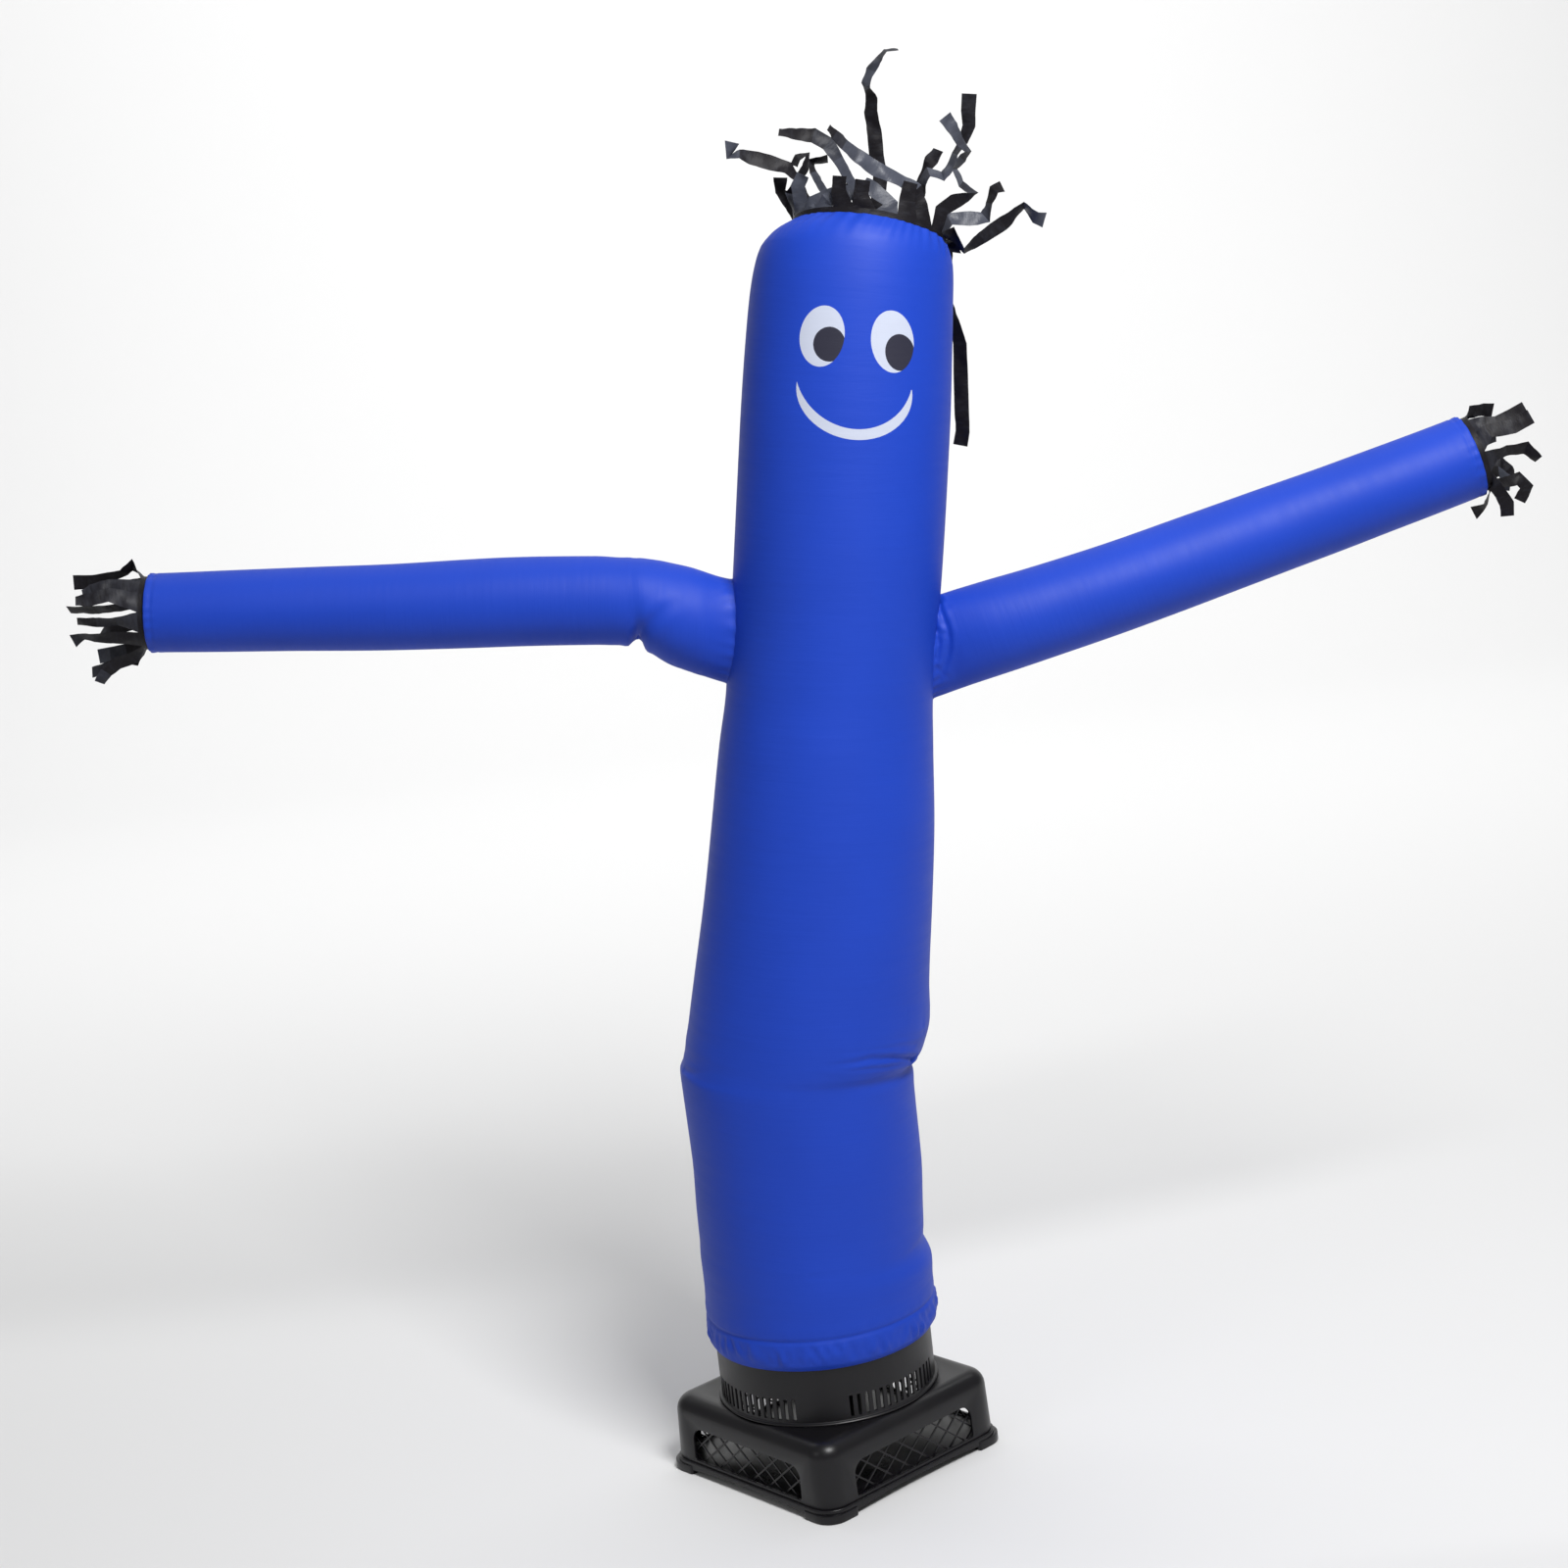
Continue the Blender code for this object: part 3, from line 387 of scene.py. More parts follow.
def inside_oval(tree, place, oval):
    """1 where the front view lies inside an oval, and 0 outside it."""
    centred = add_node(tree, "Mapping", {
        "Vector": place, "Location": (oval.x + AXIS_X, 0, oval.z),
        "Rotation": (0, -math.radians(oval.lean), 0),
        "Scale": (oval.half_length, 1, oval.half_breadth),
    }, vector_type="TEXTURE")
    flat = add_node(tree, "VectorMath", {0: centred.outputs[0], 1: (1, 0, 1)}, operation="MULTIPLY")
    reach = add_node(tree, "VectorMath", {0: flat.outputs[0]}, operation="LENGTH")
    return add_node(tree, "Math", {0: reach.outputs["Value"], 1: 1.0}, operation="LESS_THAN").outputs[0]


def nylon_taffeta(with_face):
    """Nylon taffeta, woven plain and calendered: smooth with a soft wide gloss and hair-fine puckers."""
    name = "nylon_taffeta_printed" if with_face else "nylon_taffeta"
    material, tree, shader = new_material(name, 0.54, specular=0.26)
    settings = cloth()
    place = add_node(tree, "TexCoord").outputs["Object"]
    weave_place = add_node(tree, "UVMap", uv_map="cloth").outputs[0]
    # Broad unevenness in the dye, a hand's breadth across
    dye = add_node(tree, "TexNoise", {"Vector": place, "Scale": 6.0, "Detail": 2.0})
    plain = settings.nylon
    dyed = add_node(tree, "Mix", {
        "Factor": dye.outputs["Fac"], "A": scaled(plain, 0.9), "B": scaled(plain, 1.1)}, data_type="RGBA")
    base = dyed.outputs["Result"]
    if with_face:
        base = printed_face(tree, place, base)
    tree.links.new(base, shader.inputs["Base Color"])
    # Hairline wrinkles run around the tube, about 10 mm apart
    stretched = add_node(tree, "Mapping", {"Vector": weave_place, "Scale": (9.0, 95.0, 1.0)})
    wrinkles = add_node(tree, "TexNoise", {
        "Vector": stretched.outputs[0], "Scale": 1.0, "Detail": 3.0, "Roughness": 0.55})
    # Threads are 0.25 mm apart in the real cloth, drawn at 1.5 mm so that they can show
    across = add_node(tree, "TexWave", {"Vector": weave_place, "Scale": 105.0}, bands_direction="X")
    along = add_node(tree, "TexWave", {"Vector": weave_place, "Scale": 105.0}, bands_direction="Y")
    threads = add_node(tree, "Math", {
        0: across.outputs["Fac"], 1: along.outputs["Fac"]}, operation="MAXIMUM")
    weave = add_node(tree, "Bump", {"Height": threads.outputs[0], "Strength": 0.10, "Distance": 0.0002})
    bump = add_node(tree, "Bump", {
        "Height": wrinkles.outputs["Fac"], "Strength": 0.35, "Distance": 0.0012, "Normal": weave.outputs[0]})
    tree.links.new(bump.outputs[0], shader.inputs["Normal"])
    gloss = add_node(tree, "MapRange", {
        "Value": wrinkles.outputs["Fac"], "To Min": 0.50, "To Max": 0.62})
    tree.links.new(gloss.outputs[0], shader.inputs["Roughness"])
    return material


def printed_face(tree, place, base):
    """Screen printed eyes and smile, flat in the cloth's colour, on the front of the head only."""
    settings = cloth()
    parts = add_node(tree, "SeparateXYZ", {"Vector": place})
    values = {name: inside_oval(tree, place, oval) for name, oval in OVALS.items()}
    values.update({name: parts.outputs[name] for name in "XYZ"})
    (low_x, low_z), (high_x, high_z) = SMILE_TIPS
    slope = (high_z - low_z) / (high_x - low_x)
    # Each row makes a value from two earlier ones. The smile ends at the line between its tips
    for name, operation, *pair in (
            ("whites", "MAXIMUM", "left_white", "right_white"),
            ("pupils", "MAXIMUM", "left_pupil", "right_pupil"),
            ("pupils", "MULTIPLY", "pupils", "whites"),
            ("around", "SUBTRACT", 1.0, "smile_inner"),
            ("smile", "MULTIPLY", "smile_outer", "around"),
            ("line", "MULTIPLY", "X", slope),
            ("line", "ADD", "line", low_z - slope * (low_x + AXIS_X)),
            ("below", "LESS_THAN", "Z", "line"),
            ("smile", "MULTIPLY", "smile", "below"),
            ("front", "LESS_THAN", "Y", 0.0),
            ("light", "MAXIMUM", "whites", "smile"),
            ("light", "MULTIPLY", "light", "front"),
            ("dark", "MULTIPLY", "pupils", "front")):
        inputs = {index: values.get(value, value) for index, value in enumerate(pair)}
        values[name] = add_node(tree, "Math", inputs, operation=operation).outputs[0]
    for name, ink in (("light", settings.print_light), ("dark", settings.print_dark)):
        printed = add_node(tree, "Mix", {
            "Factor": values[name], "A": base, "B": opaque(ink)}, data_type="RGBA")
        base = printed.outputs["Result"]
    return base


def satin_ribbon():
    """Polyester satin ribbon with a glossier face and a duller back, crumpled in use, and the lights'
    reflection on it painted grey as a painted sheen.
    """
    material, tree, shader = new_material("satin_ribbon", 0.45, specular=0.16)
    settings = cloth()
    ribbon_place = add_node(tree, "UVMap", uv_map="cloth").outputs[0]
    # Each face's share of painted sheen, the lights' reflection painted as grey colour
    light = add_node(tree, "Attribute", attribute_name="painted_sheen_share").outputs["Fac"]
    # Crumples run across the strip, 4 to 8 mm apart
    stretched = add_node(tree, "Mapping", {"Vector": ribbon_place, "Scale": (70.0, 160.0, 1.0)})
    crumple = add_node(tree, "TexNoise", {
        "Vector": stretched.outputs[0], "Scale": 1.0, "Detail": 3.0, "Roughness": 0.6})
    # Painted shade and sheen: the crumples also shift the colour darker and lighter along their folds
    painted_crumple_shade = add_node(tree, "MapRange", {
        "Value": crumple.outputs["Fac"], "From Min": 0.3, "From Max": 0.7, "To Min": -0.12, "To Max": 0.12})
    side = add_node(tree, "Math", {0: light, 1: painted_crumple_shade.outputs[0]}, operation="ADD", use_clamp=True)
    colour = add_node(tree, "Mix", {
        "Factor": side.outputs[0], "A": opaque(settings.ribbon_dark), "B": opaque(settings.ribbon_painted_sheen)},
        data_type="RGBA")
    tree.links.new(colour.outputs["Result"], shader.inputs["Base Color"])
    gloss = add_node(tree, "MapRange", {"Value": light, "To Min": 0.50, "To Max": 0.34})
    tree.links.new(gloss.outputs[0], shader.inputs["Roughness"])
    # Satin's floats are 0.15 mm wide, drawn as ribs 1 mm apart along the strip
    ribs = add_node(tree, "TexWave", {"Vector": ribbon_place, "Scale": 160.0}, bands_direction="X")
    fine = add_node(tree, "Bump", {"Height": ribs.outputs["Fac"], "Strength": 0.12, "Distance": 0.0002})
    bump = add_node(tree, "Bump", {
        "Height": crumple.outputs["Fac"], "Strength": 0.5, "Distance": 0.0012, "Normal": fine.outputs[0]})
    tree.links.new(bump.outputs[0], shader.inputs["Normal"])
    return material


def moulded_abs(name, roughness):
    """ABS, injection moulded in a spark-eroded tool: black with a satin gloss and a fine even grain."""
    material, tree, shader = new_material(name, roughness, specular=0.34)
    place = add_node(tree, "TexCoord").outputs["Object"]
    # The tool's grain is 0.15 mm, drawn at 0.8 mm
    grain = add_node(tree, "TexNoise", {"Vector": place, "Scale": 1250.0, "Detail": 1.0})
    bump = add_node(tree, "Bump", {"Height": grain.outputs["Fac"], "Strength": 0.10, "Distance": 0.0002})
    tree.links.new(bump.outputs[0], shader.inputs["Normal"])
    # Handling leaves soft patches a little glossier, and dust a little paler
    patches = add_node(tree, "TexNoise", {"Vector": place, "Scale": 14.0, "Detail": 4.0})
    gloss = add_node(tree, "MapRange", {
        "Value": patches.outputs["Fac"], "From Min": 0.3, "From Max": 0.7,
        "To Min": roughness - 0.05, "To Max": roughness + 0.06})
    tree.links.new(gloss.outputs[0], shader.inputs["Roughness"])
    plain = blower().plastic
    colour = add_node(tree, "Mix", {
        "Factor": patches.outputs["Fac"], "A": scaled(plain, 0.9), "B": scaled(plain, 1.15)},
        data_type="RGBA")
    tree.links.new(colour.outputs["Result"], shader.inputs["Base Color"])
    return material


# Cloth, made in mesh code


def monotone(places, values):
    """A smooth curve through a table's values that never overshoots them."""
    steps = [b - a for a, b in zip(places, places[1:])]
    slopes = [(b - a) / step for a, b, step in zip(values, values[1:], steps)]
    tangents = [slopes[0]]
    for before, after, left, right in zip(slopes, slopes[1:], steps, steps[1:]):
        if before * after <= 0:
            tangents.append(0.0)
            continue
        first, second = 2 * right + left, right + 2 * left
        tangents.append((first + second) / (first / before + second / after))
    tangents.append(slopes[-1])

    def value(place):
        index = min(max(bisect.bisect_right(places, place) - 1, 0), len(steps) - 1)
        t = min(max((place - places[index]) / steps[index], 0.0), 1.0)
        rise = values[index] * (1 + 2 * t) * (1 - t) ** 2 + values[index + 1] * t * t * (3 - 2 * t)
        lean = tangents[index] * t * (1 - t) ** 2 + tangents[index + 1] * t * t * (t - 1)
        return rise + lean * steps[index]

    return value


def smooth_columns(rows, place_of):
    """One smooth curve for each column of a table, over a place that grows along it."""
    places = [place_of(row) for row in rows]
    return [monotone(places, list(column)) for column in zip(*rows)]


class BodyTube:
    """The body's smooth surface over height and azimuth."""

    def __init__(self):
        self.curves = smooth_columns(BODY, lambda row: row.z)

    def section(self, z):
        _, x, y, wide, deep, tilt, nod = (curve(z) for curve in self.curves)
        tilt, nod = math.radians(tilt), math.radians(nod)
        across = Vector((math.cos(tilt), 0.0, -math.sin(tilt)))
        up = across.cross(Vector((0.0, math.cos(nod), -math.sin(nod)))).normalized()
        return Vector((x, y, z)), across, up.cross(across), up, wide, deep

    def point(self, z, angle):
        centre, across, away, _, wide, deep = self.section(z)
        azimuth = math.degrees(angle)
        fold = 0.0
        for f in BODY_FOLDS:
            gap = abs((azimuth - f.azimuth + 180) % 360 - 180)
            if gap < f.half_spread:
                share = math.cos(math.pi / 2 * gap / f.half_spread) ** 2
                fold += f.depth * share * math.exp(-(((z - f.z) / f.half_height) ** 2))
        spoke = across * math.cos(angle) + away * math.sin(angle)
        side, back = (wide - fold) * math.cos(angle), (deep - fold) * math.sin(angle)
        return centre + across * side + away * back, spoke

    def locate(self, point):
        """Height and azimuth of the section through a point, and how far out it is, 1 on the cloth."""
        z = point.z
        for _ in range(6):
            centre, across, away, up, wide, deep = self.section(z)
            z += (point - centre).dot(up)
        out = point - centre
        side, back = out.dot(across) / wide, out.dot(away) / deep
        return z, math.atan2(back, side), math.hypot(side, back)

    def on_front(self, x, z):
        """The point of the front that shows at x and z."""
        height = z
        for _ in range(8):
            centre, across, _, _, wide, _ = self.section(height)
            side = (x - centre.x) / across.x
            height = z - across.z * side
        share = min(max(side / wide, -1.0), 1.0)
        return self.point(height, -math.acos(share))[0]


class ArmTube:
    """An arm's smooth surface over distance and angle, from the body's middle to the cuff."""

    def __init__(self, rings, lean_degrees):
        lean = math.radians(lean_degrees)
        self.reach = 1.0 if rings[-1].x > rings[0].x else -1.0
        self.start, self.end = self.reach * rings[0].x, self.reach * rings[-1].x
        self.up = Vector((math.sin(lean), 0.0, math.cos(lean)))
        self.away = Vector((0.0, -self.reach, 0.0))
        self.out = self.up.cross(self.away)
        self.curves = smooth_columns(rings, lambda row: self.reach * row.x)

    def ring(self, run):
        x, z, y, radius, depth = (curve(run) for curve in self.curves)
        return Vector((x, y, z)), radius, depth

    def point(self, run, angle):
        centre, radius, depth = self.ring(run)
        spoke = self.up * math.cos(angle) + self.away * math.sin(angle)
        return centre + self.up * radius * math.cos(angle) + self.away * depth * math.sin(angle), spoke

    def on_front(self, x, z):
        """The point of the front that shows at x and z."""
        run = self.reach * x
        for _ in range(8):
            centre, radius, depth = self.ring(run)
            height = (z - centre.z) / self.up.z
            run = self.reach * (x - height * self.up.x)
        back = depth * math.sqrt(max(1 - (height / radius) ** 2, 0.0))
        return centre + self.up * height + Vector((0, -back, 0))

    def leaves(self, body, angle):
        """How far along the arm this line of cloth comes out of the body."""
        low, high = self.start, self.start + 0.20
        for _ in range(24):
            middle = (low + high) / 2
            if body.locate(self.point(middle, angle)[0])[2] < 1.0:
                low = middle
            else:
                high = middle
        return low

    def locate(self, point):
        """The middle of the ring through a point, and how far out the point is, 1 on the cloth."""
        run = self.reach * point.x
        for _ in range(8):
            centre = self.ring(run)[0]
            run += (point - centre).dot(self.out)
        centre, radius, depth = self.ring(run)
        out = point - centre
        return centre, math.hypot(out.dot(self.up) / radius, out.dot(self.away) / depth)


def crease_depth(points, creases, tube):
    """How far creases draw each point in: a soft trough with a low ridge beside it."""
    depth = np.zeros(len(points))
    for crease in creases:
        path = np.array([tube.on_front(x, z) for x, z in crease.points])
        lengths = np.linalg.norm(path[1:] - path[:-1], axis=1)
        total, done = lengths.sum(), 0.0
        best = np.full(len(points), 1e9)
        share = np.zeros(len(points))
        for start, end, length in zip(path[:-1], path[1:], lengths):
            run = end - start
            t = np.clip(((points - start) @ run) / (run @ run), 0, 1)
            gap = np.linalg.norm(points - start - t[:, None] * run, axis=1)
            nearer = gap < best
            best = np.where(nearer, gap, best)
            share = np.where(nearer, (done + t * length) / total, share)
            done += length
        strength = crease.depth + (crease.end_depth - crease.depth) * share
        width = crease.half_width
        depth += strength * (band(best, 0, width) - 0.35 * band(best, 2.4 * width, 1.1 * width))
    return depth


def band(places, middle, half):
    """1 at the middle of a soft band and nearly 0 beyond its half width."""
    return np.exp(-(((places - middle) / half) ** 2))


def waves(points, size, seed):
    """Smooth unevenness between about -1 and 1 at each point, size metres from wave to wave."""
    offset = Vector((seed * 7.31, seed * 3.17, seed * 5.73))
    return np.array([noise.noise(Vector(p) / size + offset) for p in points])


def cloth_object(name, points, uvs, columns, material, thickness, trim=None):
    """A thin tube of cloth through rows of points, closed around and trimmed before it gets its wall."""
    bm = bmesh.new()
    layer = bm.loops.layers.uv.new("cloth")
    verts = [bm.verts.new(p) for p in points]
    count = len(points) // columns
    for row in range(count - 1):
        for column in range(columns):
            after = (column + 1) % columns
            corners = (row * columns + column, row * columns + after,
                       (row + 1) * columns + after, (row + 1) * columns + column)
            face = bm.faces.new([verts[i] for i in corners])
            face.smooth = True
            for loop, index, turn in zip(face.loops, corners, (0, 1, 1, 0)):
                u = uvs[row * columns + column][0] if not turn else uvs[row * columns + column][2]
                loop[layer].uv = (u, uvs[index][1])
    if trim:
        trim(bm)
    return finish_cloth(name, bm, material, thickness)


def finish_cloth(name, bm, material, thickness, middle=False):
    mesh = bpy.data.meshes.new(name)
    bmesh.ops.translate(bm, vec=(AXIS_X, 0, 0), verts=bm.verts)
    bm.to_mesh(mesh)
    bm.free()
    mesh.materials.append(material)
    obj = bpy.data.objects.new(name, mesh)
    bpy.context.scene.collection.objects.link(obj)
    wall = obj.modifiers.new("wall", "SOLIDIFY")
    wall.thickness = thickness
    wall.offset = 0.0 if middle else -1.0
    only(obj)
    bpy.ops.object.modifier_apply(modifier=wall.name)
    return obj


def row_places(bands):
    places = []
    for low, high, step in bands:
        count = round((high - low) / step)
        places.extend(low + (high - low) * i / count for i in range(count))
    return places + [bands[-1][1]]


def angles_around(columns):
    return [2 * math.pi * column / columns for column in range(columns)]


def cloth_grid(tube, runs, angles, radius):
    """Points, outward directions, runs and angles of a grid of cloth, with its own flat places."""
    spots = [(run, angle) for row in runs for run, angle in zip(row, angles)]
    points, spokes = zip(*(tube.point(run, angle) for run, angle in spots))
    step = 2 * math.pi / len(angles)
    uvs = [(angle * radius, run, (angle + step) * radius) for run, angle in spots]
    return np.array(points), np.array(spokes), *np.array(spots).T, uvs


# A cut edge is turned in: outward, and along the tube past the edge
TURNED_EDGE = ((-0.0008, 0.0009), (-0.0020, 0.0008), (-0.0026, -0.0010), (-0.0027, -0.0040))
# Mean radii, which lay the cloth out flat for its weave
BODY_RADIUS = 0.16
ARM_RADIUS = 0.06
HEM_MIDDLE = 0.214
HEM_HALF = 0.0135
HEM_STITCHES = 0.2345
MOUTH_GATHERS_LOW = 1.66
MOUTH_GATHERS_RUN = 0.03
ARMHOLE_GATHERS = 0.011
CUFF_SEAM = 0.008


def body_cloth():
    tube, columns = BodyTube(), cloth().body_columns
    places = row_places(BODY_ROWS)
    runs = [[z] * columns for z in places]
    points, spokes, heights, angles, uvs = cloth_grid(tube, runs, angles_around(columns), BODY_RADIUS)
    out = -crease_depth(points, BODY_CREASES, tube)
    # The air holds the cloth taut, so the long waves are under a millimetre
    out += 0.0007 * waves(points * (1, 1, 0.35), 0.070, 1)
    # Puckers in the hem band, slanting and uneven, and the sunk line of stitches above it
    hem = np.exp(-(((heights - HEM_MIDDLE) / HEM_HALF) ** 4))
    out += 0.0028 * hem * np.sin(angles * 62 + heights * 160) * waves(points, 0.045, 2)
    out += 0.0039 * hem * waves(points * (1, 1, 0.3), 0.009, 3)
    out -= 0.0020 * band(heights, HEM_STITCHES, 0.0019)
    out += 0.0010 * band(heights, 0.2440, 0.0060) * waves(points * (1, 1, 0.4), 0.016, 8)
    # Gathers that run down from the mouth's seam
    near_mouth = np.clip((heights - MOUTH_GATHERS_LOW) / MOUTH_GATHERS_RUN, 0, 1) ** 2
    around = np.column_stack((np.cos(angles), np.sin(angles), heights * 2))
    out += 0.0026 * near_mouth * waves(around, 0.10, 4)
    out += 0.0008 * near_mouth * np.sin(angles * 46 + 2.2 * np.sin(angles * 5))
    points += spokes * out[:, None]
    # The hem turns in under its own weight towards the collar
    rows = [points[i * columns:(i + 1) * columns] for i in range(len(places))]
    spoke_rows = [spokes[i * columns:(i + 1) * columns] for i in range(len(places))]
    rows.insert(0, rows[0] + spoke_rows[0] * -0.0018 + np.array((0, 0, -0.0010)))
    rows.insert(0, rows[0] + spoke_rows[0] * -0.0012 + np.array((0, 0, 0.0022)))
    up = np.array(tube.section(BODY[-1].z)[3])
    edge = rows[-1]
    rows.extend(edge + spoke_rows[-1] * outward + up * along for outward, along in TURNED_EDGE)
    first = uvs[:columns]
    last = uvs[-columns:]
    below = [[(u, v - step, w) for u, v, w in first] for step in (0.004, 0.002)]
    above = [[(u, v + 0.001 + index * 0.001, w) for u, v, w in last] for index in range(len(TURNED_EDGE))]
    uvs = sum(below, []) + uvs + sum(above, [])
    return cloth_object(
        "body_cloth", np.concatenate(rows), uvs, columns, nylon_taffeta(with_face=True), cloth().thickness,
        trim=cut_armholes)


ARMHOLE_HEIGHTS = 1.03, 1.32
# How far from the body's middle the cloth is cut, and the cut's and the seam's share of the sleeve
ARMHOLE_BEYOND = 0.05
ARMHOLE_CUT = 0.92
ARMHOLE_SEAM = 0.955


def cut_armholes(bm):
    """Opens the body where the arms are sewn on, and rounds the cut to the sleeve's size."""
    body = BodyTube()
    low, high = ARMHOLE_HEIGHTS
    for arm in (ArmTube(*LEFT), ArmTube(*RIGHT)):
        def measure(point):
            beyond = (point.x - body.section(point.z)[0].x) * arm.reach
            return beyond, *arm.locate(point)

        gone = []
        for face in bm.faces:
            middle = face.calc_center_median()
            if not low < middle.z < high:
                continue
            beyond, _, share = measure(middle)
            if beyond > ARMHOLE_BEYOND and share < ARMHOLE_CUT:
                gone.append(face)
        bmesh.ops.delete(bm, geom=gone, context="FACES")
        for vert in bm.verts:
            if vert.is_boundary and low < vert.co.z < high:
                beyond, centre, share = measure(vert.co)
                if beyond > ARMHOLE_BEYOND:
                    moved = centre + (vert.co - centre) * (ARMHOLE_SEAM / share)
                    height, angle, _ = body.locate(moved)
                    vert.co = body.point(height, angle)[0]


def arm_cloth(name, tube, creases, material):
    """A sleeve from its seam on the body to the cuff's turned edge."""
    body, columns = BodyTube(), cloth().arm_columns
    steps = [0.0012] * 2 + [0.0025] * 40 + [0.0040] * 16
    length = tube.end - tube.start - 0.13
    plain = length - sum(steps) - 0.024
    count = round(plain / 0.0085)
    steps += [plain / count] * count + [0.0020] * 12
    shares = np.cumsum([0.0] + steps) / sum(steps)
    angles = angles_around(columns)
    starts = [tube.leaves(body, angle) - 0.0012 for angle in angles]
    grid = [[start + (tube.end - start) * share for start in starts] for share in shares]
    points, spokes, runs, around, uvs = cloth_grid(tube, grid, angles, ARM_RADIUS)
    to_cuff = tube.end - runs
    runs = runs - np.tile(starts, len(shares))
    out = -crease_depth(points, creases, tube)
    out += 0.0006 * waves(points * (0.35, 1, 1), 0.045, 5)
    # Gathered into the armhole: short puckers that fade within 20 mm of the seam, and its welt
    gathered = np.exp(-runs / ARMHOLE_GATHERS)
    out += 0.0016 * gathered * waves(np.column_stack((np.cos(around), np.sin(around), runs * 4)), 0.16, 6)
    out += 0.0007 * gathered * np.sin(around * 22 + 1.7 * np.sin(around * 3))
    out += 0.0012 * band(runs, 0, 0.0022)
    # The cuff's seam and the short puckers that its stitches draw
    out -= 0.0010 * band(to_cuff, CUFF_SEAM, 0.0016)
    out += 0.0006 * band(to_cuff, 0, 0.012) * np.sin(around * 19 + 2 * np.sin(around * 4))
    points += spokes * out[:, None]
    edge, edge_spokes = points[-columns:], spokes[-columns:]
    ends = [edge + edge_spokes * outward + np.array(tube.out) * along for outward, along in TURNED_EDGE]
    last = uvs[-columns:]
    for index in range(len(TURNED_EDGE)):
        uvs = uvs + [(u, v + 0.001 * (index + 1), w) for u, v, w in last]
    return cloth_object(name, np.concatenate([points, *ends]), uvs, columns, material, cloth().thickness)


# Ribbons, made in mesh code


def strip_nodes(root, rise, side, strip):
    """Middle points and width directions of a strip from its root to its tip."""
    points, runs = [root], [rise]
    lean = math.radians(strip.lean)
    for bend in strip.bends:
        angle = math.radians(bend.heading)
        run = Vector((
            math.cos(angle) * math.cos(lean), math.sin(lean), math.sin(angle) * math.cos(lean)))
        runs.append(run)
        points.append(points[-1] + run * bend.length / 1000)
    widths = [side]
    for index, bend in enumerate(strip.bends, start=1):
        along = (runs[index] + runs[min(index + 1, len(runs) - 1)]).normalized()
        flat = along.cross(Vector((0, 1, 0))).normalized()
        edge_on = along.cross(flat).normalized()
        if flat.dot(widths[-1]) < 0:
            flat.negate()
        if edge_on.dot(widths[-1]) < 0:
            edge_on.negate()
        roll = math.radians(bend.roll)
        widths.append(flat * math.cos(roll) + edge_on * math.sin(roll))
    return points, widths


RIBBON_COLUMNS = 6
RIBBON_ROW = 0.0045
RIBBON_CUP = 0.0034
RIBBON_CRUMPLE = 0.0028


